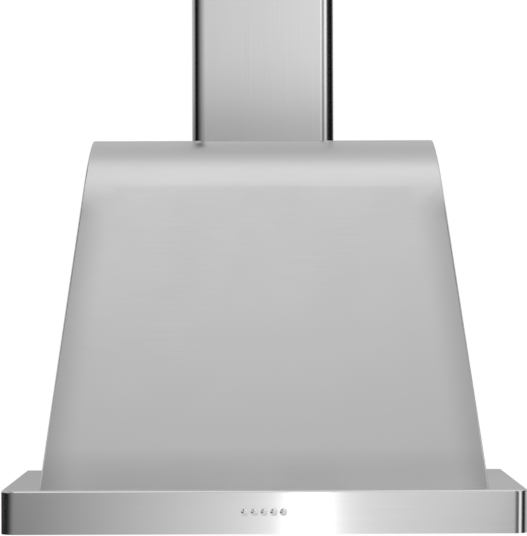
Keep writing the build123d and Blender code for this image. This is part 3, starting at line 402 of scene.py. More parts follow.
def shade(mesh: Mesh, sharp_angle: float = SHARP) -> None:
    """Shades flats flat and bends round: each corner takes the mean normal of the faces round it, by area.

    Args:
        mesh: Mesh that gets its corner normals.
        sharp_angle: Faces bent away by more than this are left out of the mean, in degrees.
    """
    mesh.shade_smooth()
    limit = math.cos(math.radians(sharp_angle))
    normals = [face.normal.copy() for face in mesh.polygons]
    weights = [face.area for face in mesh.polygons]
    around: list[list[int]] = [[] for _ in mesh.vertices]
    for face in mesh.polygons:
        for corner in face.vertices:
            around[corner].append(face.index)
    corners = []
    for face in mesh.polygons:
        own = normals[face.index]
        for corner in face.vertices:
            near = [other for other in around[corner] if normals[other].dot(own) > limit]
            mean = sum((normals[other] * weights[other] for other in near), Vector((0.0, 0.0, 0.0)))
            corners.append(mean.normalized() if mean.length else own)
    mesh.normals_split_custom_set(corners)


def arc(centre: Point, radius: float, start: float, end: float, steps: int) -> list[tuple[float, float]]:
    """Points along an arc.

    Args:
        centre: Its centre.
        radius: Its radius.
        start: First angle in degrees.
        end: Last angle in degrees.
        steps: Number of parts.

    Returns:
        The points, both ends included.
    """
    angles = [math.radians(start + (end - start) * i / steps) for i in range(steps + 1)]
    return [(centre[0] + radius * math.cos(a), centre[1] + radius * math.sin(a)) for a in angles]


def turned(
    name: str, profile: Sequence[Point], place: Callable[[float, float, float], Point], segments: int = 48
) -> Mesh:
    """Solid of revolution, with its edges over 30 degrees left sharp.

    Args:
        name: Name of the mesh.
        profile: Radius and height along the axis of each point, starting and ending on the axis.
        place: Turns a radius, a height and an angle into a point in space, in millimetres.
        segments: Faces round the axis.

    Returns:
        A closed mesh, in metres.
    """
    angles = [2 * math.pi * i / segments for i in range(segments)]
    points = [[c * MM for c in place(r, h, a)] for r, h in profile for a in angles]
    faces = [
        (row * segments + i, row * segments + (i + 1) % segments,
         (row + 1) * segments + (i + 1) % segments, (row + 1) * segments + i)
        for row in range(len(profile) - 1) for i in range(segments)
    ]
    mesh = bpy.data.meshes.new(name)
    mesh.from_pydata(points, [], faces)
    with editing(mesh) as work:
        bmesh.ops.remove_doubles(work, verts=work.verts, dist=0.02 * MM)
        bmesh.ops.recalc_face_normals(work, faces=work.faces)
    mesh.shade_smooth()
    mesh.set_sharp_from_angle(angle=math.radians(30.0))
    return mesh


def merged_copy(node: str) -> Mesh:
    """Copies a CAD node's mesh and joins its triangles up.

    Args:
        node: Name of the CAD node.

    Returns:
        The copy.
    """
    mesh = frame["nodes"][node].data.copy()
    with editing(mesh) as work:
        bmesh.ops.remove_doubles(work, verts=work.verts, dist=0.002 * MM)
    return mesh


def carry(node: str, finish: str = "", reshape: Callable[[Mesh], None] | None = None) -> Object:
    """Stands a merged copy of a CAD node in its place, with flats that shade flat and bends that shade round.

    Args:
        node: Name of the CAD node.
        finish: Name of its finish, or nothing for the usual one of its slot.
        reshape: Changes the merged copy before it is shaded.

    Returns:
        The new piece.
    """
    mesh = merged_copy(node)
    if reshape:
        reshape(mesh)
    shade(mesh)
    return new_piece(f"{node}_finished", mesh, node, finish)


def sizes_of(assembly: object) -> dict[str, int | float]:
    """Names an input after each count and length of an assembly.

    Args:
        assembly: Dataclass instance, with its counts whole and its lengths in millimetres.

    Returns:
        Input names and values, with the lengths in metres.
    """
    fields = {name.replace("_", " ").title(): value for name, value in vars(assembly).items()}
    scale = {int: 1, float: MM}
    return {name: value * scale[type(value)] for name, value in fields.items() if type(value) in scale}


# ---------------------------------------- repeated shapes
class Growth:
    """A geometry nodes tree with named sizes, grown on a host mesh and baked to a plain piece."""

    def __init__(self, node: str, sizes: Sizes, finish: str = "") -> None:
        """Opens the tree and gives it an input for each size.

        Args:
            node: CAD node whose body and slot the piece gets.
            sizes: Input names and values, with lengths in metres.
            finish: Name of its finish, or nothing for the usual one of its slot.
        """
        self.node, self.finish = node, finish or SLOT_FINISH[SLOT_OF[node]]
        self.tree = bpy.data.node_groups.new(f"{node}_tree", "GeometryNodeTree")
        self.add = partial(add_node, self.tree)
        self.values: Sizes = {}
        face = self.tree.interface
        face.new_socket("Geometry", in_out="INPUT", socket_type="NodeSocketGeometry")
        kinds = {int: "NodeSocketInt", float: "NodeSocketFloat", tuple: "NodeSocketVector"}
        for label, value in sizes.items():
            socket = face.new_socket(label, in_out="INPUT", socket_type=kinds[type(value)])
            self.values[socket.identifier] = value
        face.new_socket("Geometry", in_out="OUTPUT", socket_type="NodeSocketGeometry")
        self.given = self.add("GroupInput").node.outputs

    def sweep(self, section: NodeSocket, length: NodeSocket, sheet: NodeSocket) -> NodeSocket:
        """Draws an open curve out along Z, half of the length each way, and makes it a closed sheet.

        Args:
            section: The curve, on X and Y.
            length: Length along Z.
            sheet: Thickness, along the normals.

        Returns:
            The closed mesh.
        """
        ends = []
        for share in (-0.5, 0.5):
            height = self.add("Math", length, share, operation="MULTIPLY")
            ends.append(self.add("CombineXYZ", {"Z": height}))
        path = self.add("CurvePrimitiveLine", {"Start": ends[0], "End": ends[1]})
        surface = self.add("CurveToMesh", {"Curve": path, "Profile Curve": section})
        raised = self.add("ExtrudeMesh", {
            "Mesh": surface, "Offset Scale": sheet, "Individual": False
        }, mode="FACES")
        both = self.add("JoinGeometry", [raised, self.add("FlipFaces", surface)])
        return self.add("MergeByDistance", {"Geometry": both, "Distance": MERGE})

    def ring(self, inner: object, outer: object, width: object, middle: object, steps: object) -> NodeSocket:
        """Sweeps a rectangle round Z.

        Args:
            inner: Inner radius.
            outer: Outer radius.
            width: Width along Z.
            middle: Height of its middle.
            steps: Flats round the ring.

        Returns:
            The closed ring.
        """
        across = self.add("Math", inner, outer, operation="ADD")
        radius = self.add("Math", across, 0.5, operation="MULTIPLY")
        wall = self.add("Math", outer, inner, operation="SUBTRACT")
        path = self.add("CurvePrimitiveCircle", {"Resolution": steps, "Radius": radius})
        section = self.add("CurvePrimitiveQuadrilateral", {"Width": wall, "Height": width}, mode="RECTANGLE")
        swept = self.add("CurveToMesh", {"Curve": path, "Profile Curve": section})
        place = self.add("CombineXYZ", {"Z": middle})
        return self.add("Transform", {"Geometry": swept, "Translation": place})

    def bake(
        self, grown: NodeSocket, name: str = "", host: Mesh | None = None, sharp_angle: float = SHARP,
        stands_in: bool = True,
    ) -> Object:
        """Ends the tree, grows it on a host mesh and puts the plain result in the scene.

        Args:
            grown: Last output socket of the tree.
            name: Name of the piece, or nothing for the CAD node's with an ending.
            host: Mesh that the tree starts from, or nothing for an empty one.
            sharp_angle: Faces bent away from each other by more than this meet in a crisp edge, in degrees.
            stands_in: True if the piece is shown in the node's place.

        Returns:
            The new piece.
        """
        real = self.add("RealizeInstances", grown)
        dressed = self.add("SetMaterial", {"Geometry": real, "Material": material_of(self.finish)})
        self.add("GroupOutput", dressed)
        thing = loose(self.tree.name, host or bpy.data.meshes.new(self.tree.name))
        modifier = thing.modifiers.new("growth", "NODES")
        modifier.node_group = self.tree
        for identifier, value in self.values.items():
            modifier[identifier] = value
        graph = bpy.context.evaluated_depsgraph_get()
        mesh = bpy.data.meshes.new_from_object(thing.evaluated_get(graph), depsgraph=graph)
        thing.modifiers.clear()
        bpy.data.objects.remove(thing)
        with editing(mesh) as work:
            bmesh.ops.recalc_face_normals(work, faces=work.faces)
        shade(mesh, sharp_angle)
        return new_piece(name or f"{self.node}_finished", mesh, self.node, self.finish, stands_in)


@dataclass
class Screws:
    """Pan-head sheet screws, each on the spot and axis of its CAD solid."""

    node: str
    head_radius: float = 3.4
    head_height: float = 2.0
    shank_radius: float = 1.75
    thread_depth: float = 0.35
    thread_turns: int = 4  # along one shank
    recess_length: float = 3.6
    recess_width: float = 0.9
    recess_depth: float = 1.1
    head_segments: int = 20
    head_rings: int = 10
    shank_segments: int = 14
    shank_rings: int = 16
    crown: ClassVar[float] = 1.35  # stretch of the ball under the head's top, which is then cut off level
    recess_shares: ClassVar[tuple[float, float]] = (2.0, 2.2)  # height of the two bars, in recess depths
    # Where the point ends and starts on a rod from -0.5 to 0.5, then its share of the shank's width at both.
    point: ClassVar[tuple[float, ...]] = (-0.5, -0.3, 0.6, 1.0)

    def places(self) -> Mesh:
        """Finds each CAD screw's seat, axis and reach.

        Returns:
            A mesh with one point a screw, its axis and its reach as attributes.
        """
        seats, axes, reaches, seen = [], [], [], set()
        with editing(merged_copy(self.node)) as work:
            for first in work.faces:
                if first in seen:
                    continue
                screw = [first]
                seen.add(first)
                for face in screw:
                    near = dict.fromkeys(other for edge in face.edges for other in edge.link_faces)
                    fresh = [other for other in near if other not in seen]
                    seen.update(fresh)
                    screw += fresh
                planes: dict[tuple[float, ...], list[bmesh.types.BMFace]] = {}
                for face in screw:
                    level = face.calc_center_median().dot(face.normal)
                    planes.setdefault((*(round(c, 2) for c in face.normal), round(level, 5)), []).append(face)
                # The head's top is the largest flat of a screw.
                cap = max(planes.values(), key=lambda faces: sum(face.calc_area() for face in faces))
                axis = cap[0].normal.copy()
                rim = {corner.index: corner.co for face in cap for corner in face.verts}
                middle = sum(rim.values(), Vector()) / len(rim)
                depth = max((middle - corner.co).dot(axis) for face in screw for corner in face.verts)
                seats.append(middle - axis * self.head_height * MM)
                axes.append(axis)
                reaches.append(depth - self.head_height * MM)
        mesh = bpy.data.meshes.new(self.node)
        mesh.from_pydata(seats, [], [])
        parts = [part for axis in axes for part in axis]
        mesh.attributes.new("axis", "FLOAT_VECTOR", "POINT").data.foreach_set("vector", parts)
        mesh.attributes.new("reach", "FLOAT", "POINT").data.foreach_set("value", reaches)
        return mesh

    def build(self) -> None:
        """Grows a recessed head and a threaded shank on every place."""
        grow = Growth(self.node, sizes_of(self))
        add, given = grow.add, grow.given
        x, y, z = add("SeparateXYZ", add("InputPosition")).node.outputs

        # The head is the upper half of a ball, cut off level: flat below, round at its edge and flat on top.
        ball = add("MeshUVSphere", {
            "Segments": given["Head Segments"], "Rings": given["Head Rings"], "Radius": 1.0
        })
        rise = add("Clamp", add("Math", z, self.crown, operation="MULTIPLY"))
        unit = add("CombineXYZ", x, y, rise)
        size = add("CombineXYZ", given["Head Radius"], given["Head Radius"], given["Head Height"])
        shape = add("VectorMath", unit, size, operation="MULTIPLY")
        head = add("SetPosition", {"Geometry": ball, "Position": shape})
        head = add("MergeByDistance", {"Geometry": head, "Distance": MERGE})

        # One bar of the cross is cut a touch deeper, as two level floors would leave a gap where they meet.
        top, bars = add("CombineXYZ", {"Z": given["Head Height"]}), []
        sides = [given["Recess Length"], given["Recess Width"]]
        for share in self.recess_shares:
            depth = add("Math", given["Recess Depth"], share, operation="MULTIPLY")
            bar = add("MeshCube", add("CombineXYZ", *sides, depth))
            sides.reverse()
            bars.append(add("Transform", {"Geometry": bar, "Translation": top}))
        head = add("MeshBoolean", {"Mesh 1": head, "Mesh 2": bars}, operation="DIFFERENCE")

        # The thread runs up one pitch in each lap, and the shank narrows to its point.
        rod = add("MeshCylinder", {
            "Vertices": given["Shank Segments"], "Side Segments": given["Shank Rings"],
            "Radius": 1.0, "Depth": 1.0,
        })
        lap = add("Math", y, x, operation="ARCTAN2")
        lap = add("Math", lap, 2 * math.pi, operation="DIVIDE")
        lap = add("Math", z, given["Thread Turns"], lap, operation="MULTIPLY_ADD")
        wave = add("Math", add("Math", lap, 0.5, operation="PINGPONG"), 2.0, operation="MULTIPLY")
        groove = add("Math", given["Thread Depth"], wave, operation="MULTIPLY")
        core = add("Math", given["Shank Radius"], groove, operation="SUBTRACT")
        taper = add("MapRange", z, *self.point)
        width = add("Math", core, taper, operation="MULTIPLY")
        across = [add("Math", side, width, operation="MULTIPLY") for side in (x, y)]
        drop = add("Math", z, 0.5, operation="SUBTRACT")
        shape = add("CombineXYZ", *across, drop)
        shank = add("SetPosition", {"Geometry": rod, "Position": shape})

        axis = add("InputNamedAttribute", {"Name": "axis"}, data_type="FLOAT_VECTOR")
        reach = add("InputNamedAttribute", {"Name": "reach"}, data_type="FLOAT")
        turn = add("AlignRotationToVector", {"Vector": axis}, axis="Z")
        stretch = add("CombineXYZ", 1.0, 1.0, reach)
        place = {"Points": given["Geometry"], "Rotation": turn}
        solids = [
            add("InstanceOnPoints", {**place, "Instance": solid, "Scale": scale})
            for solid, scale in ((head, (1.0, 1.0, 1.0)), (shank, stretch))
        ]
        grow.bake(add("JoinGeometry", solids), host=self.places(), sharp_angle=COARSE_SHARP)


# ---------------------------------------- studio
@dataclass
class Studio:
    """Camera, light and floor.

    The stops give an angle in degrees and how bright the studio is there. Turns are measured from the camera
    to the right, as seen from the hood. Heights are measured from the level, over the top and down behind.
    A rise gives the heights between which one part of the studio goes over into the next one up.
    """

    camera_distance: float = 4950.0  # from the wall
    camera_height: float = -136.0
    lens: float = 175.5
    shift_up: float = 0.0365  # in widths of the picture, as is the next
    shift_right: float = 0.0002
    roll: float = 0.195  # the photograph leans by as much, in degrees
    floor_height: float = -1560.0
    floor_size: float = 7000.0
    floor_colour: str = "F2F2F2"
    floor_glow: float = 0.6  # share of plain white in what the camera and steel see of it
    overhead_power: float = 18.0  # watts
    overhead_size: tuple[float, float] = (2400.0, 1800.0)
    overhead_place: tuple[float, float, float] = (-900.0, -2400.0, 2600.0)
    overhead_aim: tuple[float, float, float] = (0.0, -200.0, -200.0)
    level: float = 0.9  # what dull surfaces get from every side
    ground: float = 0.85  # brightness far below the level
    # A narrow strip light stands right of the camera, and the light falls off slowly on both its sides.
    strip_wash: Stops = (
        (-8.0, 0.22), (-5.6, 0.24), (-4.5, 0.46), (-1.9, 0.87), (-0.7, 1.1), (0.4, 1.4),
        (0.5, 2.6), (1.45, 2.6), (1.55, 1.5), (1.7, 1.39), (2.15, 1.18), (2.6, 1.075), (3.4, 0.95),
        (4.75, 0.79), (5.2, 0.73), (5.35, 0.7), (5.52, 0.55), (8.0, 0.45),
    )
    strip_edge: tuple[float, float] = (6.5, 8.0)  # turns at which the wash gives way to the sides
    low_turns: Stops = (
        (-180, 0.5), (-158, 0.02), (-62, 0.0), (-48, 0.04), (-31, 0.17), (-8, 0.28), (8, 0.55), (19, 0.3),
        (28, 0.15), (37, 0.1), (44, 0.3), (51, 1.4), (62, 1.4), (71, 0.5), (80, 0.05), (95, 0.01),
        (104, 0.06), (120, 0.6), (180, 0.5),
    )
    level_turns: Stops = (
        (-180, 0.66), (-176, 0.58), (-172, 0.58), (-145, 0.9), (-120, 0.7), (-105, 0.36), (-94, 0.03),
        (-86, 0.0), (-74, 0.0), (-67, 0.03), (-49, 0.28), (-30, 0.6), (-12, 0.85), (-2, 0.94), (1.5, 1.0),
        (3.5, 1.7), (9, 1.7), (22, 0.4), (32, 0.5), (42, 1.7), (53, 1.7), (62, 0.3), (73, 0.02), (118, 0.0),
        (132, 0.12), (145, 0.5), (165, 0.6), (176, 0.65), (180, 0.66),
    )
    level_heights: Stops = (
        (0, 0.85), (1.6, 0.75), (2.8, 0.5), (3.6, 0.6), (4.2, 0.78), (5.0, 0.9), (6.8, 0.95), (8, 0.6),
        (10, 0.4),
    )
    upper_turns: Stops = (
        (-180, 0.9), (-120, 1.0), (-68, 0.95), (-50, 0.85), (-34, 0.55), (-26, 0.33), (-16, 0.6), (-5, 1.05),
        (-2, 1.04), (1, 1.0), (5, 0.97), (16, 0.55), (26, 0.45), (42, 0.95), (120, 1.0), (180, 0.9),
    )
    dome_heights: Stops = (
        (0, 0.25), (11, 0.3), (14, 0.52), (16, 0.72), (19, 0.96), (21, 1.13), (25, 1.19), (48, 1.18),
        (62, 1.17), (72, 1.03), (82, 0.89), (92, 0.77), (110, 0.73), (150, 0.73), (180, 0.6),
    )
    # A tall black flag stands left of the camera.
    flag_turns: Stops = ((-180, 1.0), (-110, 1.0), (-80, 0.12), (-24, 0.12), (-14, 1.0), (180, 1.0))
    low_rise: tuple[float, float] = (-21.0, -11.0)
    level_rise: tuple[float, float] = (-2.8, -1.2)
    upper_rise: tuple[float, float] = (7.0, 8.6)
    flag_rise: tuple[float, float] = (28.0, 45.0)
    dome_rise: tuple[float, float] = (50.0, 65.0)

    def build(self) -> None:
        """Makes everything that isn't the object."""
        self.build_camera()
        self.build_world()
        self.build_light()
        self.build_floor()
        bpy.context.scene.view_settings.view_transform = "Standard"

    def build_camera(self) -> None:
        """Looks level and straight at the hood, from the height that the photograph was taken at."""
        data = bpy.data.cameras.new("camera")
        data.lens = self.lens
        data.sensor_width = 36.0
        data.shift_x, data.shift_y = self.shift_right, self.shift_up
        data.clip_end = 100.0
        camera = loose("camera", data)
        camera.location = (0.0, -self.camera_distance * MM, self.camera_height * MM)
        camera.rotation_euler = (math.pi / 2, math.radians(self.roll), 0.0)
        bpy.context.scene.camera = camera

    def brightness(self, add: Adder, angle: NodeSocket, stops: Stops) -> NodeSocket:
        """Brightness against an angle.

        Args:
            add: Adds a node to the world's tree.
            angle: Socket with the angle in degrees.
            stops: Angle and brightness of each stop, in rising order.

        Returns:
            Socket with the brightness.
        """
        first, last = stops[0][0], stops[-1][0]
        found = add("ValToRGB", add("MapRange", angle, first, last))
        elements = found.node.color_ramp.elements
        elements.remove(elements[-1])
        for i, (degrees, grey) in enumerate(stops):
            share = (degrees - first) / (last - first)
            element = elements.new(share) if i else elements[0]
            element.position, element.color = share, (grey, grey, grey, 1.0)
        return found

    def blend(
        self, add: Adder, angle: NodeSocket, span: tuple[float, float], before: object, after: object
    ) -> NodeSocket:
        """Goes softly from one brightness to another as an angle grows.

        Args:
            add: Adds a node to the world's tree.
            angle: Socket with the angle in degrees.
            span: Angles at which the change starts and ends.
            before: Brightness up to the start.
            after: Brightness past the end.

        Returns:
            Socket with the brightness.
        """
        share = add("MapRange", angle, *span, interpolation_type="SMOOTHSTEP")
        return add("Mix", share, {2: before, 3: after})

    def build_world(self) -> None:
        """White to the camera, and to shiny steel a pale studio with dark flags at both sides."""
        world = bpy.data.worlds.new("studio")
        bpy.context.scene.world = world
        add = clear_tree(world)
        x, y, z = add("SeparateXYZ", add("TexCoord", out="Generated")).node.outputs
        ahead = add("Math", y, -1.0, operation="MULTIPLY")
        turn, tilt, over = (
            add("Math", add("Math", *sides, operation=function), operation="DEGREES")
            for function, *sides in (("ARCTAN2", x, ahead), ("ARCSINE", z), ("ARCTAN2", z, ahead))
        )

        wash, low, level, upper, flag = (
            self.brightness(add, turn, stops)
            for stops in (
                self.strip_wash, self.low_turns, self.level_turns, self.upper_turns, self.flag_turns
            )
        )
        dome = self.brightness(add, over, self.dome_heights)
        off_side = add("Math", turn, operation="ABSOLUTE")
        seen = self.blend(add, off_side, self.strip_edge, wash, low)
        for span, sides, heights in (
            (self.level_rise, level, self.brightness(add, tilt, self.level_heights)),
            (self.upper_rise, upper, dome), (self.flag_rise, flag, dome), (self.dome_rise, 1.0, dome),
        ):
            part = add("Math", sides, heights, operation="MULTIPLY")
            seen = self.blend(add, tilt, span, seen, part)
        seen = self.blend(add, tilt, self.low_rise, self.ground, seen)

        path = add("LightPath").node.outputs
        clear = add("Math", path["Is Camera Ray"], path["Is Transmission Ray"], operation="MAXIMUM")
        sharp = add("Math", clear, path["Is Glossy Ray"], operation="MAXIMUM")
        shown = add("Mix", clear, {2: seen, 3: 1.0})
        background = add("Background", add("Mix", sharp, {2: self.level, 3: shown}))
        add("OutputWorld", background)

    def build_light(self) -> None:
        """One large soft light overhead, for the pieces that don't shine."""
        data = bpy.data.lights.new("overhead", "AREA")
        data.shape = "RECTANGLE"
        data.size, data.size_y = (side * MM for side in self.overhead_size)
        data.energy = self.overhead_power
        light = loose("overhead", data)
        light.location = Vector(self.overhead_place) * MM
        aim = Vector(self.overhead_aim) * MM - light.location
        light.rotation_euler = aim.to_track_quat("-Z", "Y").to_euler()
        light.visible_camera = False
        light.visible_glossy = False

    def build_floor(self) -> None:
        """Pale floor, well below the hood, that can be looked through from underneath."""
        half, height = self.floor_size / 2 * MM, self.floor_height * MM
        corners = [(x * half, y * half, height) for x, y in ((-1, -1), (1, -1), (1, 1), (-1, 1))]
        mesh = bpy.data.meshes.new("floor")
        mesh.from_pydata(corners, [], [(0, 1, 2, 3)])
        floor = loose("floor", mesh)
        floor.visible_glossy = False
        material = bpy.data.materials.new("pale_floor")
        add = clear_tree(material)
        path = add("LightPath").node.outputs
        clear = add("Math", path["Is Camera Ray"], path["Is Glossy Ray"], operation="MAXIMUM")
        clear = add("Math", clear, path["Is Transmission Ray"], operation="MAXIMUM")
        share = add("Math", clear, self.floor_glow, operation="MULTIPLY")
        diffuse = add("BsdfDiffuse", linear(self.floor_colour))
        glow = add("Emission", (1.0, 1.0, 1.0, 1.0))
        surface = add("MixShader", share, diffuse, glow)
        below = add("NewGeometry", out="Backfacing")
        surface = add("MixShader", below, surface, add("BsdfTransparent"))
        add("OutputMaterial", surface)
        mesh.materials.append(material)


# ---------------------------------------- assemblies
class Side(Enum):
    """Where a lamp or a filter stands."""

    LEFT = "left"
    MIDDLE = "middle"
    RIGHT = "right"


@dataclass
class Base:
    """Folded box with the underside panel."""

    nodes: tuple[str, ...] = ("base_shell", "suction_panel", "filter_magnets")

    def build(self) -> None:
        """Dresses the box and what is screwed to it."""
        for node in self.nodes:
            carry(node)
        Screws("panel_screws").build()


@dataclass
class Canopy:
    """Tapered canopy with its rounded shoulder, and the plate that it hangs from.

    Its front is drawn a little hollow by the folds: it falls back beside them and along the foot.
    """

    bottom_width: float = 771.0
    top_width: float = 603.0
    height: float = 607.0
    foot_z: float = -481.0
    foot_y: float = -480.0
    lean: float = 10.0
    shoulder_z: float = 21.0
    wall_depth: float = 4.6  # fold and sheet together
    facing: float = 0.9  # least part of a front face's normal that points forwards
    side_band: float = 58.0
    side_tilt: float = 5.5
    foot_band: float = 70.0
    foot_tilt: float = 3.1
    steps: int = 8
    shoulder_drops: tuple[float, ...] = (0.5, 15.0, 30.0, 45.0)  # cuts below it, where the hollow ends

    def fall(self, distance: float, band: float, tilt: float) -> float:
        """How far the front falls back near an edge.

        Args:
            distance: From the edge, along the front.
            band: Width over which it falls back.
            tilt: Its angle at the edge, in degrees.

        Returns:
            The depth at that distance.
        """
        share = 1 - min(max(distance / band, 0.0), 1.0)
        return math.radians(tilt) * band / 2 * share**2

    def hollow(self, mesh: Mesh) -> None:
        """Cuts strips into the canopy's front and lets them fall back.

        Args:
            mesh: The canopy's mesh.
        """
        taper = (self.bottom_width - self.top_width) / 2 / self.height
        slope = math.tan(math.radians(self.lean))

        def behind(point: Vector) -> float:
            """Distance of a point behind the front's plane."""
            return point.y / MM - (self.foot_y + (point.z / MM - self.foot_z) * slope)

        level, planes = Vector((0.0, 0.0, 1.0)), []
        for i in range(1, self.steps + 1):
            inset = self.side_band * i / self.steps
            for side in (-1, 1):
                place = Vector((side * (self.bottom_width / 2 - inset), 0.0, self.foot_z))
                planes.append((place, Vector((side, 0.0, taper))))
            planes.append((level * (self.foot_z + self.foot_band * i / self.steps), level))
        planes += [(level * (self.shoulder_z - drop), level) for drop in self.shoulder_drops]
        with editing(mesh) as work:
            for place, normal in planes:
                front = [
                    face for face in work.faces
                    if abs(face.normal.y) > self.facing
                    and behind(face.calc_center_median()) < self.wall_depth
                    and face.calc_center_median().z < (self.shoulder_z + 1) * MM
                ]
                edges = {edge for face in front for edge in face.edges}
                corners = {corner for face in front for corner in face.verts}
                bmesh.ops.bisect_plane(
                    work, geom=[*corners, *edges, *front], plane_co=place * MM, plane_no=normal,
                    dist=0.01 * MM,
                )
            for corner in work.verts:
                x, z = abs(corner.co.x) / MM, corner.co.z / MM
                if behind(corner.co) > self.wall_depth or z > self.shoulder_z:
                    continue
                half = self.bottom_width / 2 - (z - self.foot_z) * taper
                depth = self.fall(half - x, self.side_band, self.side_tilt)
                depth *= min(1.0, (self.shoulder_z - z) / self.shoulder_drops[-1])
                depth += self.fall(z - self.foot_z, self.foot_band, self.foot_tilt)
                corner.co.y += depth * MM

    def build(self) -> None:
        """Makes the canopy and dresses its fixings."""
        carry("canopy_shell", "canopy_steel", self.hollow)
        carry("wall_plate")
        Screws("canopy_screws").build()


@dataclass
class Louvres:
    """Curved blades pressed inwards behind the slots in both sides of the upper cover."""

    cover: str = "upper_chimney_cover"
    blades: int = 6
    pitch: float = 13.0
    drop: float = 70.0  # first louvre, below the top
    length: float = 90.0
    slot_height: float = 6.0
    reach: float = 6.0
    sheet: float = 0.8
    depth: float = 250.0  # of the chimney
    steps: int = 8
    # Shares of the reach and of the slot's height, from the upper edge inwards and down.
    bend: ClassVar[dict[str, tuple[float, float]]] = {
        "Start": (0.0, 0.58), "Middle": (0.62, 0.3), "End": (1.0, -0.4)
    }

    def build(self) -> None:
        """Grows a blade behind each slot, from its upper edge inwards and down."""
        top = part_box(self.cover)[1]
        sizes = sizes_of(self) | {"Wall": top[0] - self.sheet * MM, "Top": top[2]}
        grow = Growth(self.cover, sizes, "cover_steel")
        add, given = grow.add, grow.given
        corners = {}
        for name, (out, up) in self.bend.items():
            out = add("Math", given["Reach"], out, operation="MULTIPLY")
            up = add("Math", given["Slot Height"], up, operation="MULTIPLY")
            corners[name] = add("CombineXYZ", out, up)
        section = add("CurveArc", {"Resolution": given["Steps"], **corners}, mode="POINTS")
        blade = grow.sweep(section, given["Length"], given["Sheet"])
        back = add("Math", given["Depth"], -0.5, operation="MULTIPLY")
        first = add("Math", given["Top"], given["Drop"], operation="SUBTRACT")
        step = add("Math", given["Pitch"], -1.0, operation="MULTIPLY")
        step, rows = add("CombineXYZ", {"Z": step}), []
        for side, turn in ((-1.0, 0.0), (1.0, math.pi)):
            wall = add("Math", given["Wall"], side, operation="MULTIPLY")
            start = add("CombineXYZ", wall, back, first)
            spots = add("MeshLine", {"Count": given["Blades"], "Start Location": start, "Offset": step})
            turn = (math.pi / 2, 0.0, turn)
            rows.append(add("InstanceOnPoints", {"Points": spots, "Instance": blade, "Rotation": turn}))
        grow.bake(add("JoinGeometry", rows), "chimney_louvres", sharp_angle=COARSE_SHARP, stands_in=False)


@dataclass
class Chimney:
    """Two telescopic covers and their brackets."""

    covers: tuple[str, ...] = ("lower_chimney_cover", "upper_chimney_cover")
    brackets: tuple[str, ...] = ("foot_bracket_left", "foot_bracket_right", "wall_bracket")

    def build(self) -> None:
        """Makes the louvres and screws, and dresses the covers and their brackets."""
        Louvres().build()
        for node in self.covers:
            carry(node, "cover_steel")
        for node in self.brackets:
            carry(node)
        Screws("chimney_screws").build()
        Screws("upper_cover_screws").build()


@dataclass
class Controls:
    """Five push buttons with their switches."""

    count: int = 5
    pitch: float = 16.5
    height: float = -518.5
    apex_y: float = -503.5
    radius: float = 6.0
    face_slope: float = 0.444  # degrees for each millimetre from the middle: the face is a little domed
    rim_slope: float = 27.0  # degrees that the rim slopes more
    rim_start: float = 1.89  # radius at which the slope starts to grow
    rim_run: float = 1.62  # distance over which it grows
    edge_radius: float = 0.4
    skirt_front_y: float = -498.7
    skirt_rear_y: float = -497.5
    skirt_radius: float = 7.4
    stem_radius: float = 1.6
    stem_end_y: float = -491.7
    steps: int = 22
    edge_start: float = -60.0  # degrees: the edge leads from there round to the side
    edge_steps: int = 4
    nodes: tuple[str, ...] = ("switch_board", "switch_bodies", "switch_carrier")

    def profile(self) -> list[tuple[float, float]]:
        """Half outline of a button.

        Returns:
            Radius and Y of each point, from the middle of its face to the end of its stem.
        """
        y, face_radius, outline = self.apex_y, self.radius - self.edge_radius, [(0.0, self.apex_y)]
        step = face_radius / self.steps
        for i in range(1, self.steps + 1):
            share = min(max((i * step - self.rim_start) / self.rim_run, 0.0), 1.0)
            slope = self.face_slope * i * step + self.rim_slope * share**2 * (3 - 2 * share)
            y += step * math.tan(math.radians(slope))
            outline.append((i * step, y))
        centre = (face_radius, y + self.edge_radius)
        return outline + arc(centre, self.edge_radius, self.edge_start, 0.0, self.edge_steps) + [
            (self.radius, self.skirt_front_y), (self.skirt_radius, self.skirt_front_y),
            (self.skirt_radius, self.skirt_rear_y), (self.stem_radius, self.skirt_rear_y),
            (self.stem_radius, self.stem_end_y), (0.0, self.stem_end_y),
        ]

    def build(self) -> None:
        """Makes the buttons and dresses the switches."""
        for number in range(1, self.count + 1):
            x, node = (number - (self.count + 1) / 2) * self.pitch, f"button_{number}"
            mesh = turned(
                node, self.profile(), lambda r, y, a: (x + r * math.cos(a), y, self.height + r * math.sin(a))
            )
            new_piece(f"{node}_cap", mesh, node)
        for node in self.nodes:
            carry(node)


